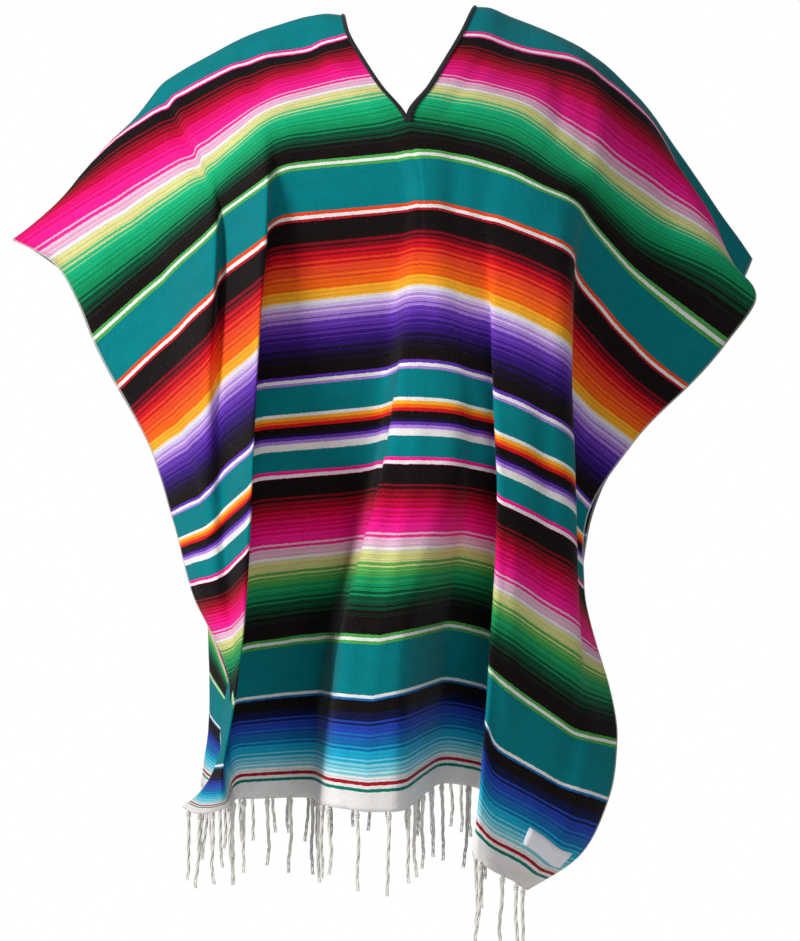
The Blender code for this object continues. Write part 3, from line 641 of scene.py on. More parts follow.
def thicken(piece: bpy.types.Object, wall: float) -> bpy.types.Object:
    """Gives a sheet its wall in millimetres, half on each side, as a plain mesh piece."""
    solid = piece.modifiers.new("wall", "SOLIDIFY")
    solid.thickness = wall * MM
    solid.offset = 0.0
    solid.use_even_offset = False
    return baked(piece)


@dataclass
class NeckBinding:
    """Black tape folded over both edges of the neck slit.

    Attributes:
        depth: How far the tape reaches over the cloth, in millimetres.
        thickness: Thickness of the tape.
        gap: Room between the tape and the cloth's middle surface.
        reach: The most of the strip beside the slit that the tape covers.
        lip: Room between the tape's fold and the cloth's edge.
        bevel: How much thinner the tape's inner edge is.
        swell: How much the tape's middle stands out.
        round_over: How far beyond the cloth's edge the tape starts to fold.
        rim_half: Half the width of the folded rim.
        seam: How far the stitches lie from the tape's inner edge, as a share of half its depth.
        corner_width: Width of the flat map from one corner of a section to the next.
    """

    cloth: SerapeCloth
    depth: float = 8.0
    thickness: float = 0.9
    gap: float = 1.3
    reach: float = 0.8
    lip: float = 0.75
    bevel: float = 0.15
    swell: float = 0.25
    round_over: float = 0.4
    rim_half: float = 0.5
    seam: float = 0.28
    corner_width: float = 2.0

    def _section(self, edge: tuple[int, int], neighbour: tuple[int, int],
                 outward: np.ndarray) -> list[np.ndarray]:
        """Corners of the folded tape at one point of the slit."""
        cloth = self.cloth
        start, end = cloth.points[edge], cloth.points[neighbour]
        up, far_up = cloth.normals[edge], cloth.normals[neighbour]
        share = min(self.depth / np.linalg.norm(end - start), self.reach)
        middle, deep = start + (end - start) * share / 2, start + (end - start) * share
        middle_up, deep_up = up + (far_up - up) * share / 2, up + (far_up - up) * share
        near, far = self.gap, self.gap + self.thickness
        rim = start + outward * (self.lip + self.thickness)
        edge_out, middle_far = start + outward * self.round_over, far + self.swell
        return [
            deep + deep_up * (near + self.bevel), deep + deep_up * far, middle + middle_up * middle_far,
            edge_out + up * far, rim + up * self.rim_half, rim - up * self.rim_half,
            edge_out - up * far, middle - middle_up * middle_far, deep - deep_up * far,
            deep - deep_up * (near + self.bevel), start - up * near, start + outward * self.lip,
            start + up * near]

    def _outward(self, edge: tuple[int, int], neighbour: tuple[int, int]) -> np.ndarray:
        """Unit direction out of the cloth's edge."""
        return unit(self.cloth.points[edge] - self.cloth.points[neighbour])

    def sections(self) -> list[list[np.ndarray]]:
        """Sections up one side of the slit, round its end, and down the other."""
        cloth = self.cloth
        open_rows = [r for r in range(cloth.rows) if not cloth.joined[r]]
        left, right = cloth.middle, cloth.middle + 1
        found = []

        def end_of_slit(row: int, beyond: int, columns: tuple[int, int]) -> None:
            """Fans the sections round one end of the slit."""
            outward = self._outward((row, left), (beyond, left))
            fan = ((row, columns[0]), (beyond, columns[0]), (beyond, left),
                   (beyond, columns[1]), (row, columns[1]))
            found.extend(self._section((row, left), neighbour, outward) for neighbour in fan)

        for row in open_rows:
            edge, inner = (row, left), (row, left - 1)
            found.append(self._section(edge, inner, self._outward(edge, inner)))
        end_of_slit(open_rows[-1] + 1, open_rows[-1] + 2, (left - 1, right + 1))
        for row in reversed(open_rows):
            edge, inner = (row, right), (row, right + 1)
            found.append(self._section(edge, inner, self._outward(edge, inner)))
        end_of_slit(open_rows[0] - 1, open_rows[0] - 2, (right + 1, left - 1))
        return found

    def build(self) -> bpy.types.Object:
        """The tape's closed loop; its UV map runs round the tape and along it."""
        sections = self.sections()
        count = len(sections[0])
        points = np.array(sections).reshape(-1, 3)
        faces, flat, wide = [], [], self.corner_width
        along = distances(np.array([section[0] for section in sections] + [sections[0][0]]))
        for i in range(len(sections)):
            j = (i + 1) % len(sections)
            for k in range(count):
                m = (k + 1) % count
                faces.append([i * count + k, j * count + k, j * count + m, i * count + m])
                flat += [(wide * k, along[i]), (wide * k, along[i + 1]),
                         (wide * (k + 1), along[i + 1]), (wide * (k + 1), along[i])]
        piece = make_piece("black_neck_tape", points, faces, flat)
        recalculate(piece)
        return piece

    def stitch_path(self, side: int) -> np.ndarray:
        """Points of the row of stitches near the tape's inner edge, outside (1) or inside (-1)."""
        found = []
        for section in self.sections():
            deep, middle = (section[1], section[2]) if side == 1 else (section[8], section[7])
            found.append(deep * (1 - self.seam) + middle * self.seam)
        return np.array(found)


def recalculate(piece: bpy.types.Object) -> None:
    """Merges doubles and turns every face outwards."""
    mesh = bmesh.new()
    mesh.from_mesh(piece.data)
    bmesh.ops.remove_doubles(mesh, verts=mesh.verts, dist=1e-5)
    bmesh.ops.dissolve_degenerate(mesh, dist=1e-6, edges=mesh.edges)
    bmesh.ops.recalc_face_normals(mesh, faces=mesh.faces)
    mesh.to_mesh(piece.data)
    mesh.free()


class Signal:
    """A shader socket that carries a number; Python's operators on it add Math nodes."""

    def __init__(self, graph: "ShaderGraph", socket: bpy.types.NodeSocket) -> None:
        """Wraps one output socket of a graph."""
        self.graph = graph
        self.socket = socket

    def __add__(self, other: Any) -> "Signal":
        """Sum."""
        return self.graph.math("ADD", self, other)

    __radd__ = __add__

    def __mul__(self, other: Any) -> "Signal":
        """Product."""
        return self.graph.math("MULTIPLY", self, other)

    __rmul__ = __mul__

    def __sub__(self, other: Any) -> "Signal":
        """Difference."""
        return self.graph.math("SUBTRACT", self, other)

    def __rsub__(self, other: Any) -> "Signal":
        """Difference, this one taken away."""
        return self.graph.math("SUBTRACT", other, self)

    def __truediv__(self, other: Any) -> "Signal":
        """Quotient."""
        return self.graph.math("DIVIDE", self, other)

    def __gt__(self, other: Any) -> "Signal":
        """One where this is greater, zero elsewhere."""
        return self.graph.math("GREATER_THAN", self, other)

    def __abs__(self) -> "Signal":
        """Size without the sign."""
        return self.graph.math("ABSOLUTE", self)

    def fract(self) -> "Signal":
        """The part after the decimal point."""
        return self.graph.math("FRACT", self)

    def sine(self) -> "Signal":
        """Sine."""
        return self.graph.math("SINE", self)

    def clamp(self) -> "Signal":
        """Held between 0 and 1."""
        return self.graph.math("MINIMUM", self.graph.math("MAXIMUM", self, 0.0), 1.0)

    def mixed(self, other: "Signal", share: float) -> "Signal":
        """This, with a share of another."""
        return self * (1 - share) + other * share


class NodeGraph:
    """A node tree with one method that adds any node."""

    def __init__(self, tree: bpy.types.NodeTree) -> None:
        """Takes a tree over and empties it."""
        self.tree = tree
        self.tree.nodes.clear()

    def add(self, kind: str, settings: dict[str, Any] | None = None,
            sockets: dict[Any, Any] | None = None) -> bpy.types.Node:
        """Adds a node.

        Args:
            kind: Its type.
            settings: Its properties, set first.
            sockets: The value or link of each input, by name or number.

        Returns:
            The node.
        """
        node = self.tree.nodes.new(kind)
        for key, value in (settings or {}).items():
            setattr(node, key, value)
        for key, value in (sockets or {}).items():
            source = value.socket if isinstance(value, Signal) else value
            if isinstance(source, bpy.types.NodeSocket):
                self.tree.links.new(source, node.inputs[key])
            else:
                node.inputs[key].default_value = source
        return node


class ShaderGraph(NodeGraph):
    """A material's node tree."""

    def __init__(self, name: str) -> None:
        """Makes an empty material of that name."""
        self.material = bpy.data.materials.new(name)
        self.material.use_nodes = True
        super().__init__(self.material.node_tree)

    def flat(self) -> bpy.types.NodeSocket:
        """The place on the flat cloth, in metres."""
        return self.add("ShaderNodeUVMap", {"uv_map": FLAT_MAP}).outputs["UV"]

    def millimetres(self) -> list[Signal]:
        """The two measures of the place on the flat cloth, across and along."""
        parts = self.add("ShaderNodeSeparateXYZ", None, {0: self.flat()})
        return [Signal(self, socket) * 1000 for socket in parts.outputs[:2]]

    def math(self, operation: str, *values: Any) -> Signal:
        """A Math node on numbers or signals."""
        node = self.add("ShaderNodeMath", {"operation": operation}, dict(enumerate(values)))
        return Signal(self, node.outputs[0])

    def ramp(self, at: Signal, stops: list[tuple[float, Colour]],
             interpolation: str) -> bpy.types.NodeSocket:
        """The colour that a ramp with rising stops holds at a place."""
        node = self.add("ShaderNodeValToRGB", None, {"Fac": at})
        node.color_ramp.interpolation = interpolation
        elements = node.color_ramp.elements
        while len(elements) < len(stops):
            elements.new(1.0)
        for element, (place, colour) in zip(elements, stops):
            element.position = place
            element.color = colour
        return node.outputs["Color"]

    def mix(self, share: Any, first: Any, second: Any, blend: str = "MIX") -> bpy.types.NodeSocket:
        """A mix of two colours."""
        node = self.add("ShaderNodeMix", {"data_type": "RGBA", "blend_type": blend},
                        {0: share, 6: first, 7: second})
        return node.outputs[2]

    def noise(self, vector: bpy.types.NodeSocket, across: float, along: float,
              detail: float = 2.0, roughness: float = 0.5) -> Signal:
        """Smooth noise between 0 and 1 over flat cloth, its scale given for each direction."""
        node = self.add("ShaderNodeVectorMath", {"operation": "MULTIPLY"},
                        {0: vector, 1: (across, along, 1.0)})
        return self.cloud(node.outputs[0], 1.0, detail, roughness)

    def cloud(self, vector: bpy.types.NodeSocket, scale: float, detail: float = 2.0,
              roughness: float = 0.5) -> Signal:
        """Smooth noise between 0 and 1 in space."""
        node = self.add("ShaderNodeTexNoise", {"noise_dimensions": "3D"}, {
            "Vector": vector, "Scale": scale, "Detail": detail, "Roughness": roughness})
        return Signal(self, node.outputs["Fac"])

    def bump(self, height: Signal) -> bpy.types.NodeSocket:
        """A normal from a height in metres."""
        node = self.add("ShaderNodeBump", None, {"Height": height, "Distance": 1.0, "Strength": 1.0})
        return node.outputs["Normal"]

    def finish(self, sockets: dict[str, Any]) -> bpy.types.Material:
        """Adds the Principled shader with these sockets and returns the material."""
        shader = self.add("ShaderNodeBsdfPrincipled", None, sockets)
        self.add("ShaderNodeOutputMaterial", None, {"Surface": shader.outputs[0]})
        return self.material


def hexed(code: str, share: float = 1.0) -> Colour:
    """A colour from its screen code, as scene-linear numbers times a share."""
    values = [int(code[k : k + 2], 16) / 255 for k in (1, 3, 5)]
    linear = [v / 12.92 if v <= 0.04045 else ((v + 0.055) / 1.055) ** 2.4 for v in values]
    return (*[share * v for v in linear], 1.0)


class Yarn(Enum):
    """The weaver's yarn colours."""

    TEAL = "#007F86"
    BLACK = "#17100F"
    DARK_RED = "#8C0A1E"
    CRIMSON = "#C8043C"
    MAGENTA = "#EE0C76"
    PALE_PINK = "#EFC4DA"
    HOT_PINK = "#FF1F96"
    YELLOW = "#E0DC90"
    EMERALD = "#18BE84"
    GREEN = "#12995E"
    DARK_GREEN = "#0A4A32"
    RED = "#DA1420"
    RED_ORANGE = "#F04A22"
    ORANGE = "#FF6A16"
    AMBER = "#FFB52E"
    WHITE = "#F4F0EE"
    PALE_LILAC = "#E2D2F2"
    LILAC = "#B48ADF"
    PURPLE = "#6436B0"
    DARK_PURPLE = "#38187A"
    INDIGO = "#1D1238"
    ROYAL_BLUE = "#2748B8"
    NAVY = "#101A44"
    BLUE = "#1670B4"
    CYAN = "#1DB4D8"
    LIGHT_CYAN = "#8ADBEA"
    THIN_RED = "#B41828"
    THIN_GREEN = "#0A7C6C"
    LEAF = "#4FA950"

    def linear(self) -> Colour:
        """The colour in scene-linear numbers."""
        return hexed(self.value, 0.92)


@dataclass(frozen=True)
class Shading:
    """A band where one yarn gives way to the next in pin lines.

    Attributes:
        name: Which band.
        keys: (distance from the shoulder line in millimetres, yarn) pairs. Two keys at
            nearly one distance make a sharp edge.
        pitch: Distance between the pin lines.
    """

    name: str
    keys: tuple[tuple[float, Yarn], ...]
    pitch: float = 4.7


# Plain stripes: each yarn from its distance to the next one
PLAIN_UPPER: tuple[tuple[float, Yarn], ...] = (
    (0, Yarn.TEAL), (42, Yarn.HOT_PINK), (45, Yarn.WHITE), (49, Yarn.HOT_PINK), (52, Yarn.BLACK),
    (216, Yarn.LEAF), (218.8, Yarn.WHITE), (222, Yarn.LEAF), (225, Yarn.TEAL),
    (271, Yarn.RED_ORANGE), (275.5, Yarn.WHITE), (279.3, Yarn.THIN_RED), (283, Yarn.BLACK),
    (440, Yarn.PURPLE), (443.2, Yarn.WHITE), (447.2, Yarn.LILAC), (451.5, Yarn.TEAL),
)
PLAIN_LOWER: tuple[tuple[float, Yarn], ...] = (
    (451.5, Yarn.TEAL), (478, Yarn.WHITE), (481.2, Yarn.AMBER), (485, Yarn.ORANGE), (489, Yarn.RED),
    (493, Yarn.BLACK), (501.5, Yarn.INDIGO), (504, Yarn.PURPLE), (507.5, Yarn.DARK_PURPLE),
    (509, Yarn.LILAC), (512.8, Yarn.WHITE), (516.8, Yarn.TEAL), (540, Yarn.HOT_PINK),
    (543, Yarn.WHITE), (546, Yarn.HOT_PINK), (549, Yarn.BLACK), (715, Yarn.LEAF),
    (717.4, Yarn.WHITE), (720.6, Yarn.LEAF), (724, Yarn.TEAL), (781, Yarn.CYAN), (783.4, Yarn.WHITE),
    (786.8, Yarn.BLUE), (790, Yarn.BLACK), (879.5, Yarn.THIN_RED), (883.5, Yarn.WHITE),
    (886.5, Yarn.THIN_GREEN), (889, Yarn.WHITE),
)
SHADINGS: tuple[Shading, ...] = (
    Shading("shoulder_bloom", (
        (52, Yarn.BLACK), (63, Yarn.BLACK), (74, Yarn.DARK_RED), (84, Yarn.CRIMSON),
        (95, Yarn.MAGENTA), (110, Yarn.HOT_PINK), (124, Yarn.PALE_PINK), (129, Yarn.WHITE),
        (130, Yarn.YELLOW), (136, Yarn.YELLOW), (150, Yarn.EMERALD), (172, Yarn.GREEN),
        (189, Yarn.DARK_GREEN), (203, Yarn.BLACK), (216, Yarn.BLACK))),
    Shading("embers", (
        (284, Yarn.BLACK), (301, Yarn.BLACK), (313, Yarn.DARK_RED), (321, Yarn.RED),
        (334, Yarn.RED_ORANGE), (348, Yarn.ORANGE), (358, Yarn.AMBER), (363, Yarn.AMBER),
        (363.5, Yarn.WHITE), (368, Yarn.PALE_LILAC))),
    Shading("dusk", (
        (368, Yarn.PALE_LILAC), (378, Yarn.LILAC), (390, Yarn.PURPLE), (407, Yarn.DARK_PURPLE),
        (420, Yarn.INDIGO), (431, Yarn.BLACK), (440, Yarn.BLACK))),
    Shading("rose_bloom", (
        (549, Yarn.BLACK), (566, Yarn.BLACK), (577, Yarn.DARK_RED), (586, Yarn.CRIMSON),
        (600, Yarn.MAGENTA), (612, Yarn.HOT_PINK), (626, Yarn.PALE_PINK), (632, Yarn.WHITE),
        (633, Yarn.YELLOW), (638, Yarn.YELLOW), (652, Yarn.LEAF), (664, Yarn.GREEN),
        (682, Yarn.DARK_GREEN), (697, Yarn.BLACK), (715, Yarn.BLACK))),
    Shading("sea", (
        (790, Yarn.BLACK), (799, Yarn.BLACK), (809, Yarn.NAVY), (822, Yarn.ROYAL_BLUE),
        (838, Yarn.BLUE), (852, Yarn.CYAN), (868, Yarn.LIGHT_CYAN), (879.5, Yarn.WHITE))),
)


@dataclass(frozen=True)
class WovenFinish:
    """Weft-faced weave in graded stripes, read from the flat cloth's UV map.

    Attributes:
        feather: How far the edges of a stripe wander, in millimetres.
        line_strength: How clearly the pin lines show, from 0 to 1.
        groove_shade: How dark the painted shade in the groove beside each pin line is, from 0 to 1.
        weft: Distance between weft threads in millimetres.
        warp: Distance between warp ribs in millimetres.
        selvage: Width of the pale thread along each selvage in millimetres.
        selvage_share: How much of the pale thread's colour shows.
        wander: How far the stripes wander over the whole cloth, in millimetres.
        lint_from: Where lint starts in its noise, which lies between 0 and 1.
        lint_share: How much of the lint's colour shows.
        thread_height: Height of the weave in metres.
        rumple_height: Height of the small dents in metres.
    """

    name: str = "woven_stripes"
    feather: float = 0.8
    line_strength: float = 0.92
    groove_shade: float = 0.24
    weft: float = 1.55
    warp: float = 2.7
    selvage: float = 2.2
    selvage_share: float = 0.5
    wander: float = 2.4
    lint_from: float = 0.765
    lint_share: float = 0.3
    thread_height: float = 0.00022
    rumple_height: float = 0.0011
    selvage_colour: str = "#D9D6CC"
    lint_colour: str = "#D8D4DC"
    # Colour of the shade painted into the groove beside each pin line
    groove_shade_colour: str = "#140A12"

    def material(self) -> bpy.types.Material:
        """The woven cloth's material."""
        graph = ShaderGraph(self.name)
        flat = graph.flat()
        across, along = graph.millimetres()
        wander = graph.noise(flat, 7.0, 3.0)
        fray = graph.noise(flat, 300.0, 160.0)
        v = abs(along) + (wander - 0.5) * self.wander + (fray - 0.5) * (2 * self.feather)
        colour = self._stripes(graph, v)
        threads = graph.noise(flat, 160.0, 900.0, 2.0, 0.6)
        cloudy = graph.noise(flat, 24.0, 60.0, 3.0, 0.55)
        shade = 0.74 + threads * 0.34 + (cloudy - 0.5) * 0.26
        grey = graph.add("ShaderNodeCombineColor", None, {0: shade, 1: shade, 2: shade})
        colour = graph.mix(1.0, colour, grey.outputs[0], "MULTIPLY")
        lint = graph.noise(flat, 700.0, 1100.0, 1.0)
        colour = graph.mix((lint > self.lint_from) * self.lint_share, colour, hexed(self.lint_colour))
        edge = abs(across) > FLAT_WIDTH / 2 - self.selvage
        colour = graph.mix(edge * self.selvage_share, colour, hexed(self.selvage_colour))
        turns = 2 * math.pi
        weft = (v * (turns / self.weft)).sine()
        warp = (across * (turns / self.warp) + (along * (turns / self.weft / 2)).sine() * 0.8).sine()
        fuzz = graph.noise(flat, 900.0, 1300.0)
        height = weft * 0.10 + warp * 0.26 + fuzz * 0.8 + threads * 0.9
        rumple = graph.noise(flat, 42.0, 30.0)
        normal = graph.bump(height * self.thread_height + rumple * self.rumple_height)
        return graph.finish({
            "Base Color": colour, "Roughness": 1.0 - threads * 0.1, "Sheen Weight": 0.05,
            "Sheen Roughness": 0.5, "Specular IOR Level": 0.08, "Normal": normal})

    def _stripes(self, graph: ShaderGraph, v: Signal) -> bpy.types.NodeSocket:
        """The colour at each distance from the shoulder line."""
        hem = LEVELS["hem"]
        upper = [(at / hem, yarn.linear()) for at, yarn in PLAIN_UPPER]
        lower = [(at / hem, yarn.linear()) for at, yarn in PLAIN_LOWER]
        place = v / hem
        colour = graph.mix(v > PLAIN_LOWER[0][0], graph.ramp(place, upper, "CONSTANT"),
                           graph.ramp(place, lower, "CONSTANT"))
        for band in SHADINGS:
            first, last = band.keys[0][0], band.keys[-1][0]
            inside = (v > first) * (1 - (v > last))
            colour = graph.mix(inside, colour, self._graded(graph, v, band))
        return colour

    def _graded(self, graph: ShaderGraph, v: Signal, band: Shading) -> bpy.types.NodeSocket:
        """One graded band: pin lines of the next yarn grow until they fill the ground, with painted shade
        beside each line.
        """
        first, last = band.keys[0][0], band.keys[-1][0]
        place = (v - first) / (last - first)
        grounds, lines, shares = [], [], []
        span = last - first
        for (at, yarn), (following, next_yarn) in zip(band.keys, band.keys[1:]):
            low, high = (at - first) / span, (following - first) / span
            grounds.append((low, yarn.linear()))
            lines.append((low, next_yarn.linear()))
            shares += [(low, hexed("#000000")), (high - 0.0004, hexed("#FFFFFF"))]
        share = Signal(graph, graph.ramp(place, shares, "LINEAR"))
        phase = (v / band.pitch).fract()
        mask = ((share * 1.1 - 0.05 - phase) * 7.0 + 0.5).clamp()
        amount = share.mixed(mask, self.line_strength)
        colour = graph.mix(
            amount, graph.ramp(place, grounds, "CONSTANT"), graph.ramp(place, lines, "CONSTANT"))
        # Painted shade: a dark line beside each pin line, for the shade in its groove
        groove_shade = ((0.17 - abs(phase - 0.62)) * 14.0).clamp()
        return graph.mix(groove_shade * self.groove_shade, colour, hexed(self.groove_shade_colour))


@dataclass(frozen=True)
class TapeFinish:
    """Matt black cotton tape with a fine twill.

    Attributes:
        colour: Its screen colour.
        worn: The paler colour where it is worn.
    """

    name: str = "black_tape"
    colour: str = "#0E0D10"
    worn: str = "#2A282C"

    def material(self) -> bpy.types.Material:
        """The tape's material."""
        graph = ShaderGraph(self.name)
        across, along = graph.millimetres()
        twill = ((across * 1.6 + along * 2.4) * 2.0).sine()
        worn = graph.noise(graph.flat(), 90.0, 160.0, 3.0)
        colour = graph.mix(worn * 0.5, hexed(self.colour), hexed(self.worn))
        normal = graph.bump(twill * 0.00010 + worn * 0.0003)
        return graph.finish({
            "Base Color": colour, "Roughness": 0.85 - worn * 0.15, "Sheen Weight": 0.12,
            "Specular IOR Level": 0.25, "Normal": normal})


@dataclass(frozen=True)
class YarnFinish:
    """Soft twisted yarn.

    Attributes:
        colour: The yarn's screen colour.
        shade: The darker colour painted into its hollows as shade.
        fibres: How many fibres lie in a metre, on each axis.
        patches: How many uneven patches lie in a metre.
    """

    name: str
    colour: str
    shade: str
    fibres: tuple[float, float, float] = (1500.0, 1500.0, 260.0)
    patches: float = 70.0

    def material(self) -> bpy.types.Material:
        """The yarn's material."""
        graph = ShaderGraph(self.name)
        place = graph.add("ShaderNodeTexCoord").outputs["Object"]
        stretched = graph.add("ShaderNodeVectorMath", {"operation": "MULTIPLY"},
                              {0: place, 1: self.fibres}).outputs[0]
        fibres, patches = graph.cloud(stretched, 1.0), graph.cloud(place, self.patches)
        # Painted shade in the fibres' hollows where the bump is low, with uneven patches of tone mixed in
        share = (fibres * 0.7 + patches * 0.5).clamp()
        colour = graph.mix(share, hexed(self.shade), hexed(self.colour))
        normal = graph.bump(fibres * 0.0004 + patches * 0.0004)
        return graph.finish({
            "Base Color": colour, "Roughness": 0.95 - fibres * 0.1, "Sheen Weight": 0.25,
            "Specular IOR Level": 0.2, "Normal": normal})


@dataclass(frozen=True)
class SatinFinish:
    """Blank white satin ribbon with fine ribs.

    Attributes:
        colour: Its screen colour.
        shade: The colour of its dull patches.
        rib: Distance between its ribs in millimetres.
    """

    name: str = "label_satin"
    colour: str = "#F6F6FA"
    shade: str = "#E9E8F4"
    rib: float = 0.9

    def material(self) -> bpy.types.Material:
        """The label's material."""
        graph = ShaderGraph(self.name)
        _, along = graph.millimetres()
        ribs = (along * (2 * math.pi / self.rib)).sine()
        soft = graph.noise(graph.flat(), 60.0, 60.0)
        colour = graph.mix(soft, hexed(self.shade), hexed(self.colour))
        normal = graph.bump(ribs * 0.00003 + soft * 0.0008)
        return graph.finish({
            "Base Color": colour, "Roughness": 0.5 + soft * 0.15, "Sheen Weight": 0.1,
            "Specular IOR Level": 0.4, "Normal": normal})


@dataclass(frozen=True)
class FloorFinish:
    """Plain pale studio floor."""

    name: str = "pale_floor"

    def material(self) -> bpy.types.Material:
        """The floor's material."""
        graph = ShaderGraph(self.name)
        place = graph.add("ShaderNodeTexCoord").outputs["Object"]
        soft = graph.cloud(place, 1.5)
        colour = graph.mix(soft, hexed("#E4E3E0"), hexed("#EAE9E6"))
        return graph.finish({"Base Color": colour, "Roughness": 0.8})


class PathTree(NodeGraph):
    """Geometry Nodes trees that make what repeats along guide lines."""

    def __init__(self, name: str) -> None:
        """Starts an empty tree with one geometry input and output."""
        super().__init__(bpy.data.node_groups.new(name, "GeometryNodeTree"))
        face = self.tree.interface
        face.new_socket(name="Guides", in_out="INPUT", socket_type="NodeSocketGeometry")
        face.new_socket(name="Made", in_out="OUTPUT", socket_type="NodeSocketGeometry")
        self.identifiers: dict[str, str] = {}
        self.start = self.add("NodeGroupInput")
        self.end = self.add("NodeGroupOutput")

    def number(self, name: str, kind: str = "NodeSocketFloat") -> str:
        """Adds a named input to the tree and returns its name."""
        item = self.tree.interface.new_socket(name=name, in_out="INPUT", socket_type=kind)
        self.identifiers[name] = item.identifier
        return name

    def given(self, name: str) -> bpy.types.NodeSocket:
        """The socket of a named input."""
        return self.start.outputs[name]

    def math(self, operation: str, first: Any, second: Any = 0.0) -> bpy.types.NodeSocket:
        """A Math node's result."""
        return self.add("ShaderNodeMath", {"operation": operation}, {0: first, 1: second}).outputs[0]

    def scaled(self, vector: bpy.types.NodeSocket,
               share: bpy.types.NodeSocket) -> bpy.types.NodeSocket:
        """A vector times a number."""
        node = self.add("ShaderNodeVectorMath", {"operation": "SCALE"}, {0: vector, "Scale": share})
        return node.outputs[0]

    def close(self, geometry: bpy.types.NodeSocket) -> None:
        """Ends the tree in Realize Instances and Set Material."""
        self.number("Material", "NodeSocketMaterial")
        real = self.add("GeometryNodeRealizeInstances", None, {0: geometry}).outputs[0]
        smooth = self.add("GeometryNodeSetShadeSmooth", None, {0: real}).outputs[0]
        made = self.add("GeometryNodeSetMaterial", None, {
            0: smooth, "Material": self.given("Material")})
        self.tree.links.new(made.outputs[0], self.end.inputs[0])

    def run(self, piece: bpy.types.Object, values: dict[str, Any]) -> bpy.types.Object:
        """Runs the tree on a piece of guide lines.

        Args:
            piece: A mesh of edges.
            values: The tree's named inputs.

        Returns:
            The result as a plain mesh piece of the same name.
        """
        modifier = piece.modifiers.new("made", "NODES")
        modifier.node_group = self.tree
        for name, value in values.items():
            modifier[self.identifiers[name]] = value
        return baked(piece)


def yarn_tree() -> PathTree:
    """A tree that winds plies of yarn round each guide line, thinner towards its end."""
    tree = PathTree("plied_yarn")
    for name in ("Wind", "Thickness", "Turns", "Taper", "Spread"):
        tree.number(name)
    tree.number("Plies", "NodeSocketInt")
    curve = tree.add("GeometryNodeMeshToCurve", None, {0: tree.given("Guides")}).outputs[0]
    copies = tree.add("GeometryNodeDuplicateElements", {"domain": "SPLINE"}, {
        "Geometry": curve, "Amount": tree.given("Plies")})
    spline = tree.add("GeometryNodeSplineParameter")
    share = spline.outputs["Factor"]
    phase = tree.math("DIVIDE", copies.outputs["Duplicate Index"], tree.given("Plies"))
    turn = tree.math("ADD", phase, tree.math("MULTIPLY", spline.outputs["Length"], tree.given("Turns")))
    angle = tree.math("MULTIPLY", turn, 2 * math.pi)
    normal = tree.add("GeometryNodeInputNormal").outputs[0]
    tangent = tree.add("GeometryNodeInputTangent").outputs[0]
    side = tree.add("ShaderNodeVectorMath", {"operation": "CROSS_PRODUCT"}, {0: tangent, 1: normal})
    out = tree.add("ShaderNodeVectorMath", {"operation": "ADD"}, {
        0: tree.scaled(normal, tree.math("COSINE", angle)),
        1: tree.scaled(side.outputs[0], tree.math("SINE", angle))}).outputs[0]
    loose = tree.math("MULTIPLY", tree.math("POWER", share, 2.0), tree.given("Spread"))
    open_out = tree.math("ADD", 1.0, loose)
    wide = tree.math("MULTIPLY", tree.given("Wind"), open_out)
    moved = tree.add("GeometryNodeSetPosition", None, {
        "Geometry": copies.outputs["Geometry"], "Offset": tree.scaled(out, wide)}).outputs[0]
    radius = tree.math("SUBTRACT", 1.0, tree.math("MULTIPLY", share, tree.given("Taper")))
    sized = tree.add("GeometryNodeSetCurveRadius", None, {0: moved, "Radius": radius}).outputs[0]
    ring = tree.add("GeometryNodeCurvePrimitiveCircle", {"mode": "RADIUS"}, {
        "Resolution": 6, "Radius": tree.given("Thickness")}).outputs[0]
    tube = tree.add("GeometryNodeCurveToMesh", None, {
        "Curve": sized, "Profile Curve": ring, "Fill Caps": True})
    if "Scale" in tube.inputs:
        tree.tree.links.new(radius, tube.inputs["Scale"])
    tree.close(tube.outputs[0])
    return tree


def stitch_tree() -> PathTree:
    """A tree that lays short rounded stitches along each guide line."""
    tree = PathTree("sewn_stitches")
    for name in ("Pitch", "Length", "Thickness"):
        tree.number(name)
    curve = tree.add("GeometryNodeMeshToCurve", None, {0: tree.given("Guides")}).outputs[0]
    even = tree.add("GeometryNodeResampleCurve", {"mode": "LENGTH"}, {
        "Curve": curve, "Length": tree.given("Pitch")}).outputs[0]
    ball = tree.add("GeometryNodeMeshUVSphere", None, {
        "Segments": 6, "Rings": 4, "Radius": 0.5}).outputs[0]
    turned = tree.add("FunctionNodeAlignRotationToVector", {"axis": "X"}, {
        "Vector": tree.add("GeometryNodeInputTangent").outputs[0]}).outputs[0]
    size = tree.add("ShaderNodeCombineXYZ", None, {
        0: tree.given("Length"), 1: tree.given("Thickness"), 2: tree.given("Thickness")}).outputs[0]
    laid = tree.add("GeometryNodeInstanceOnPoints", None, {
        "Points": even, "Instance": ball, "Rotation": turned, "Scale": size}).outputs[0]
    tree.close(laid)
    return tree


def guide_piece(name: str, paths: list[np.ndarray]) -> bpy.types.Object:
    """A mesh of edges through each path, in millimetres."""
    points, edges = [], []
    for path in paths:
        start = len(points)
        points.extend(tuple(np.asarray(point) * MM) for point in path)
        edges.extend((start + k, start + k + 1) for k in range(len(path) - 1))
    mesh = bpy.data.meshes.new(name)
    mesh.from_pydata(points, edges, [])
    return linked(name, mesh)


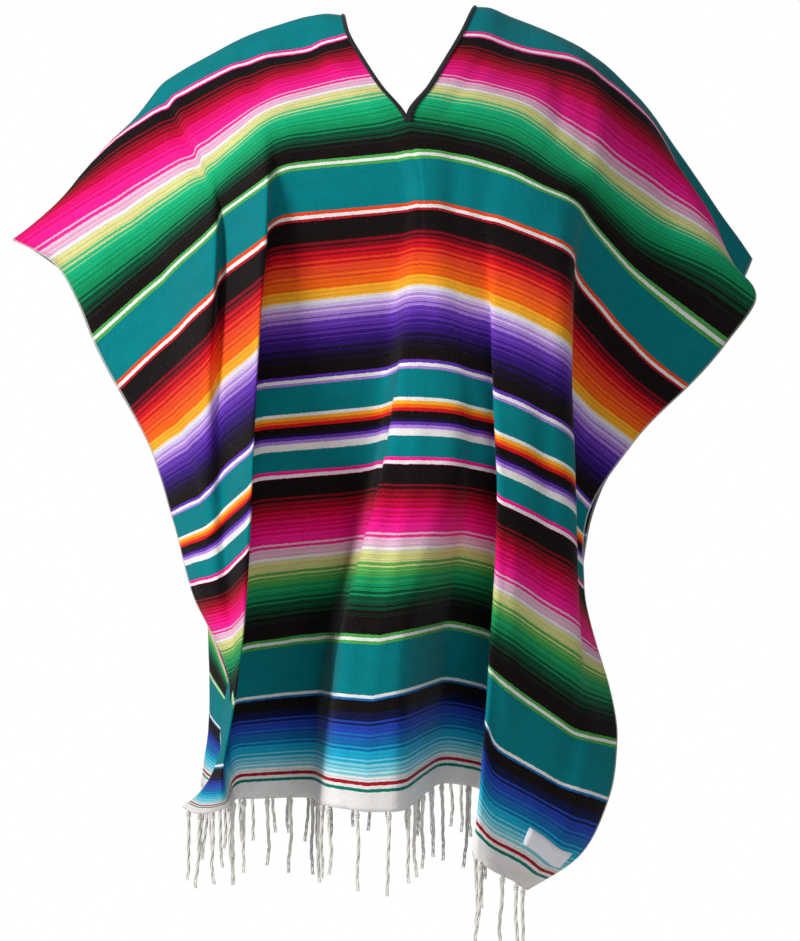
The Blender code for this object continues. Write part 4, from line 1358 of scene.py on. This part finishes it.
@dataclass
class Fringe:
    """Knotted warp ends along one hem.

    Attributes:
        side: The front hem (1) or the back one (-1).
        strands: How many tassels.
        length: Their length in millimetres.
        spread: How far their lengths differ, as a share.
        sway: How far they lean aside.
        steps: Points along each strand.
        knot_steps: Points along each knot's coil.
        knot_turn: How many of them make one turn.
        knot_rise: Height from one to the next.
        knot_start: How far over the knot's middle the coil starts.
        knot_radius: Radius of the coil.
    """

    cloth: SerapeCloth
    side: int
    strands: int = 30
    length: float = 74.0
    spread: float = 0.12
    sway: float = 5.0
    steps: int = 15
    knot_steps: int = 15
    knot_turn: int = 7
    knot_rise: float = 0.33
    knot_start: float = 1.2
    knot_radius: float = 2.1

    def roots(self) -> tuple[np.ndarray, np.ndarray, np.ndarray]:
        """Where each tassel leaves the hem, with the directions down and out of the cloth."""
        edge, down, out = self.cloth.hem(self.side)
        if self.side < 0:
            edge, down, out = edge[::-1], down[::-1], out[::-1]
        length = distances(edge)[-1]
        places = (np.arange(self.strands) + 0.5) * length / self.strands
        return place_at(edge, places), place_at(edge, places, down), place_at(edge, places, out)

    def guides(self) -> list[np.ndarray]:
        """One line for each tassel, from inside the hem to its loose end."""
        paths = []
        for item, (root, down, out) in enumerate(zip(*self.roots())):
            length = self.length * (1 + self.spread * uneven(3, item))
            path = [root - down * 1.0, root + down * 2.0]
            for k in range(1, self.steps):
                share = k / (self.steps - 1)
                swing = self.sway * share * (uneven(1, item) + 0.5 * math.sin(4 * share + item))
                curl = 0.9 * share * math.sin(9 * share + 2.3 * item)
                fall = np.array([0.7 * swing + curl, 0.4 * swing - curl, -length * share])
                ease = math.exp(-share * 9) * 3.0
                path.append(root + down * (2.0 + ease * share) + fall)
            paths.append(np.array(path))
        return paths

    def knots(self) -> list[np.ndarray]:
        """A short coil round the top of each tassel."""
        coils = []
        for path in self.guides():
            centre, axis = path[1] + (path[2] - path[1]) * 0.3, unit(path[3] - path[1])
            side = unit(np.cross(axis, [0.0, 1.0, 0.1]))
            front = np.cross(axis, side)
            coil = []
            for k in range(self.knot_steps):
                turn = 2 * math.pi * k / self.knot_turn
                spoke = side * math.cos(turn) + front * math.sin(turn)
                rise = axis * (k * self.knot_rise - self.knot_start)
                coil.append(centre + rise + spoke * self.knot_radius)
            coils.append(np.array(coil))
        return coils


@dataclass
class CareLabel:
    """Blank satin ribbon sewn on near the front's right lower corner.

    Attributes:
        first: Place among the folds of its inner side.
        last: Place among the folds of its outer side.
        top: Distance along the cloth of its sewn edge.
        bottom: Distance along the cloth of its free edge.
        thickness: Thickness of the ribbon.
        lift: How far its middle lies outside the cloth's middle.
        flare: How far its free edge stands off.
        ripple: How far that edge waves.
    """

    cloth: SerapeCloth
    first: float = 5.7
    last: float = 8.3
    top: float = 848.5
    bottom: float = 871.5
    thickness: float = 0.7
    lift: float = 1.75
    flare: float = 1.6
    ripple: float = 0.5

    def build(self) -> bpy.types.Object:
        """The ribbon as a thin shell over the cloth, its free edge a little lifted."""
        cloth = self.cloth
        rows, columns = cloth.patch(Half.RIGHT, self.first, self.last, self.top, self.bottom)
        points, normals = cloth.points[rows, columns], cloth.normals[rows, columns]
        down = np.linspace(0, 1, points.shape[0])[:, None, None]
        over = np.linspace(0, 1, points.shape[1])[None, :, None]
        lift = self.lift + self.flare * down**3 + self.ripple * np.sin(7 * over + 3 * down) * down
        points = points + normals * lift
        along = np.broadcast_to(cloth.along[rows][:, None], points.shape[:2])
        flat = np.stack([cloth.across[rows, columns], along], axis=2).reshape(-1, 2)
        quads = grid_quads(np.arange(along.size).reshape(along.shape)).reshape(-1, 4)
        piece = make_piece("blank_care_label", points.reshape(-1, 3), quads.tolist(),
                           flat[quads.reshape(-1)])
        self.seam = points[1] + normals[1] * (self.thickness * 0.5)
        return thicken(piece, self.thickness)


@dataclass(frozen=True)
class Lamp:
    """A square soft lamp: its place and its side in metres, and its power in watts."""

    name: str
    place: Place
    size: float
    power: float


LAMPS: tuple[Lamp, ...] = (
    Lamp("key_light", (-2.6, -1.95, 0.95), 1.0, 120.0),
    Lamp("fill_light", (0.9, -3.2, 0.8), 1.6, 30.0),
    Lamp("back_light", (0.6, 2.8, 1.4), 2.0, 40.0),
)


@dataclass
class Studio:
    """Camera at the photograph's angle, pale floor and soft light.

    Attributes:
        distance: From the camera to the plane of the neck, in metres.
        height: Height of the camera and of what it looks at.
        across: The camera's place across.
        seen: Height of the frame at the plane of the neck.
        floor: Height of the floor, under the feet of a standing wearer.
        floor_radius: Radius of the floor.
        floor_sides: How many straight sides its edge has.
        lit: The place that the lamps face, the middle of the garment.
        room_colour: Colour of the light from the room.
        room_light: Strength of that light.
    """

    distance: float = 3.0
    height: float = -0.481
    across: float = -0.006
    seen: float = 0.988
    floor: float = -1.42
    floor_radius: float = 2.3
    floor_sides: int = 96
    lit: Place = (0.0, 0.0, -0.45)
    room_colour: Colour = (0.93, 0.96, 1.0, 1.0)
    room_light: float = 0.17

    def camera(self) -> None:
        """Adds the level camera."""
        data = bpy.data.cameras.new("photo_camera")
        data.sensor_width = 36.0
        data.lens = data.sensor_width * self.distance / self.seen
        data.dof.use_dof = False
        camera = linked("photo_camera", data)
        camera.location = (self.across, -self.distance, self.height)
        camera.rotation_euler = (math.pi / 2, 0.0, 0.0)
        bpy.context.scene.camera = camera

    def ground(self) -> None:
        """Adds the round floor."""
        mesh = bpy.data.meshes.new("studio_floor")
        angles = [2 * math.pi * k / self.floor_sides for k in range(self.floor_sides)]
        ring = [(self.floor_radius * math.cos(a), self.floor_radius * math.sin(a), self.floor)
                for a in angles]
        mesh.from_pydata(ring, [], [list(range(self.floor_sides))])
        floor = linked("studio_floor", mesh)
        floor.data.materials.append(FloorFinish().material())

    def lamp(self, lamp: Lamp) -> None:
        """Adds one lamp."""
        data = bpy.data.lights.new(lamp.name, "AREA")
        data.shape, data.size, data.energy = "SQUARE", lamp.size, lamp.power
        light = linked(lamp.name, data)
        light.location = lamp.place
        toward = Vector(self.lit) - Vector(lamp.place)
        light.rotation_mode = "QUATERNION"
        light.rotation_quaternion = toward.to_track_quat("-Z", "Y")

    def room(self) -> None:
        """Adds a room that is white to the camera and lights the cloth only a little."""
        world = bpy.data.worlds.new("white_room")
        world.use_nodes = True
        graph = NodeGraph(world.node_tree)
        seen = graph.add("ShaderNodeBackground", None, {"Color": hexed("#FFFFFF"), "Strength": 1.0})
        cast = graph.add("ShaderNodeBackground", None, {
            "Color": self.room_colour, "Strength": self.room_light})
        path = graph.add("ShaderNodeLightPath")
        mixed = graph.add("ShaderNodeMixShader", None, {
            0: path.outputs["Is Camera Ray"], 1: cast.outputs[0], 2: seen.outputs[0]})
        graph.add("ShaderNodeOutputWorld", None, {0: mixed.outputs[0]})
        scene = bpy.context.scene
        scene.world = world
        scene.view_settings.view_transform = "Standard"
        scene.view_settings.look = "None"

    def build(self) -> None:
        """Adds the camera, the floor and the lights."""
        self.camera()
        self.ground()
        for lamp in LAMPS:
            self.lamp(lamp)
        self.room()


CREASES: tuple[Crease, ...] = (
    Crease("left_wing_tuck", Half.LEFT, ((7.15, 12), (7.1, 80), (7.05, 190)), 8.0, -5.0),
    Crease("left_wing_roll", Half.LEFT, ((6.6, 24), (6.6, 110), (6.6, 190)), 8.0, 2.4),
    Crease("left_wing_hollow", Half.LEFT, ((8.2, 60), (8.0, 180), (7.7, 330)), 17.0, -3.2),
    Crease("left_wing_lower", Half.LEFT, ((8.4, 300), (7.8, 400), (7.3, 500)), 12.0, -2.6),
    Crease("left_wing_end", Half.LEFT, ((8.2, 470), (7.9, 560), (7.5, 660)), 11.0, 2.4),
    Crease("left_shoulder_dip", Half.LEFT, ((4.2, 8), (4.4, 60), (4.6, 120)), 14.0, -2.8),
    Crease("left_collar_roll", Half.LEFT, ((1.6, 14), (1.5, 60), (1.2, 120)), 12.0, 2.4),
    Crease("left_breast_dip", Half.LEFT, ((2.5, 150), (2.7, 230), (2.8, 330)), 13.0, -2.4),
    Crease("left_panel_line", Half.LEFT, ((2.9, 380), (2.7, 520), (2.6, 640)), 15.0, 2.2),
    Crease("left_panel_hollow", Half.LEFT, ((2.4, 560), (2.3, 700), (2.4, 860)), 12.0, -2.4),
    Crease("middle_dip", Half.LEFT, ((0.15, 190), (0.3, 250), (0.45, 340)), 8.0, -3.4),
    Crease("middle_step", Half.LEFT, ((1.45, 400), (1.5, 560), (1.5, 880)), 9.0, -3.6),
    Crease("middle_crest", Half.LEFT, ((1.0, 340), (1.0, 520), (0.95, 900)), 12.0, 3.2),
    Crease("middle_band", Half.LEFT, ((0.45, 470), (0.4, 600), (0.35, 740)), 14.0, -1.8),
    Crease("right_collar_dip", Half.RIGHT, ((1.3, 40), (1.1, 110), (0.8, 200)), 11.0, -2.6),
    Crease("right_breast_dip", Half.RIGHT, ((1.6, 160), (1.7, 240), (1.8, 320)), 13.0, -2.4),
    Crease("right_shoulder_dip", Half.RIGHT, ((4.0, 20), (4.3, 90), (4.2, 170)), 15.0, -2.8),
    Crease("right_shoulder_roll", Half.RIGHT, ((5.7, 15), (5.9, 90), (6.2, 190)), 16.0, 2.6),
    Crease("right_wing_hollow", Half.RIGHT, ((8.2, 60), (8.1, 180), (7.9, 330)), 20.0, -3.4),
    Crease("right_wing_line", Half.RIGHT, ((8.9, 150), (8.6, 260), (8.3, 380)), 12.0, 2.2),
    Crease("right_brow_line", Half.RIGHT, ((0.6, 260), (0.55, 380), (0.5, 520)), 12.0, 2.0),
    Crease("right_recess_roll", Half.RIGHT, ((1.8, 420), (1.9, 600), (1.9, 860)), 9.0, -3.0),
    Crease("right_panel_hollow", Half.RIGHT, ((5.4, 400), (5.5, 540), (5.4, 700)), 15.0, -3.2),
    Crease("right_panel_line", Half.RIGHT, ((4.6, 520), (4.9, 660), (5.3, 820)), 12.0, 2.6),
    Crease("right_panel_lower", Half.RIGHT, ((6.4, 640), (6.2, 740), (6.0, 860)), 12.0, -2.4),
    Crease("back_left_wing", Half.LEFT, ((7.2, -40), (7.0, -150), (6.6, -300)), 16.0, -3.4),
    Crease("back_left_roll", Half.LEFT, ((5.8, -60), (5.6, -220), (5.5, -420)), 15.0, 3.0),
    Crease("back_left_blade", Half.LEFT, ((3.6, -120), (3.9, -260), (3.7, -460)), 18.0, -3.6),
    Crease("back_left_low", Half.LEFT, ((4.5, -430), (4.7, -600), (4.4, -860)), 15.0, -3.2),
    Crease("back_nape", Half.LEFT, ((0.5, -190), (0.9, -280), (1.2, -420)), 14.0, -3.2),
    Crease("back_middle", Half.LEFT, ((0.6, -430), (0.3, -600), (0.5, -850)), 16.0, 3.0),
    Crease("back_right_neck", Half.RIGHT, ((0.8, -60), (1.0, -160), (1.4, -280)), 13.0, -3.0),
    Crease("back_right_blade", Half.RIGHT, ((3.3, -110), (3.1, -260), (3.4, -480)), 18.0, -3.8),
    Crease("back_right_roll", Half.RIGHT, ((4.6, -60), (4.8, -230), (4.5, -420)), 15.0, 3.0),
    Crease("back_right_wing", Half.RIGHT, ((6.4, -50), (6.2, -170), (5.8, -330)), 17.0, -3.4),
    Crease("back_right_low", Half.RIGHT, ((4.2, -460), (4.5, -620), (4.3, -860)), 14.0, -3.2),
)


# Inputs of the yarn and stitch trees
TASSEL: dict[str, Any] = {
    "Plies": 3, "Wind": 0.95 * MM, "Thickness": 1.25 * MM, "Turns": 22.0, "Taper": 0.55, "Spread": 0.5}
KNOT: dict[str, Any] = {
    "Plies": 1, "Wind": 0.0, "Thickness": 1.05 * MM, "Turns": 0.0, "Taper": 0.2, "Spread": 0.0}
LABEL_STITCH: dict[str, Any] = {"Pitch": 3.0 * MM, "Length": 2.2 * MM, "Thickness": 0.5 * MM}
TAPE_STITCH: dict[str, Any] = {"Pitch": 3.4 * MM, "Length": 2.5 * MM, "Thickness": 0.5 * MM}


def settle(piece: bpy.types.Object, material: bpy.types.Material | None, slot: str,
           *nodes: str) -> None:
    """Dresses a finished piece and puts it in the place of its solids."""
    if material is not None:
        piece.data.materials.clear()
        piece.data.materials.append(material)
    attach(piece, "root")
    if nodes:
        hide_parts(*nodes)
    log.info("%s: %d faces", piece.name, len(piece.data.polygons))


def main() -> None:
    """Builds the studio and every piece."""
    logging.basicConfig(level=logging.INFO, format="%(name)s: %(message)s")
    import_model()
    Studio().build()

    cloth = SerapeCloth()
    cloth.crease(CREASES)
    cloth.undulate(1.2)
    log.info("cloth grid %d by %d", cloth.rows, cloth.columns)
    sheet = thicken(cloth.build(), cloth.wall)
    settle(sheet, WovenFinish().material(), "woven_stripes", "cloth_front", "cloth_back")

    binding = NeckBinding(cloth)
    tape = binding.build()
    settle(tape, TapeFinish().material(), "black_tape", "neck_binding")

    white_yarn = YarnFinish("white_yarn", "#F2EFE8", "#B9B4AC").material()
    yarn, companions = yarn_tree(), [tape]
    for name, side, slot in (("front", 1, "white_yarn"), ("back", -1, "white_yarn_back")):
        fringe = Fringe(cloth, side)
        strands = yarn.run(guide_piece(f"{name}_fringe_yarn", fringe.guides()),
                           TASSEL | {"Material": white_yarn})
        settle(strands, None, slot, f"{name}_fringe")
        knots = yarn.run(guide_piece(f"{name}_fringe_knots", fringe.knots()),
                         KNOT | {"Material": white_yarn})
        settle(knots, None, slot)
        companions += [strands, knots]

    label = CareLabel(cloth)
    ribbon = label.build()
    settle(ribbon, SatinFinish().material(), "label_satin", "care_label")
    stitches = stitch_tree()
    seam = stitches.run(guide_piece("label_stitches", [label.seam]),
                        LABEL_STITCH | {"Material": white_yarn})
    settle(seam, None, "label_satin")
    black_thread = YarnFinish("black_thread", "#1A191C", "#08080A").material()
    rows = [binding.stitch_path(1), binding.stitch_path(-1)]
    sewing = stitches.run(guide_piece("tape_stitches", rows),
                          TAPE_STITCH | {"Material": black_thread})
    settle(sewing, None, "black_tape")
    companions += [ribbon, seam, sewing]


if __name__ == "__main__":
    main()
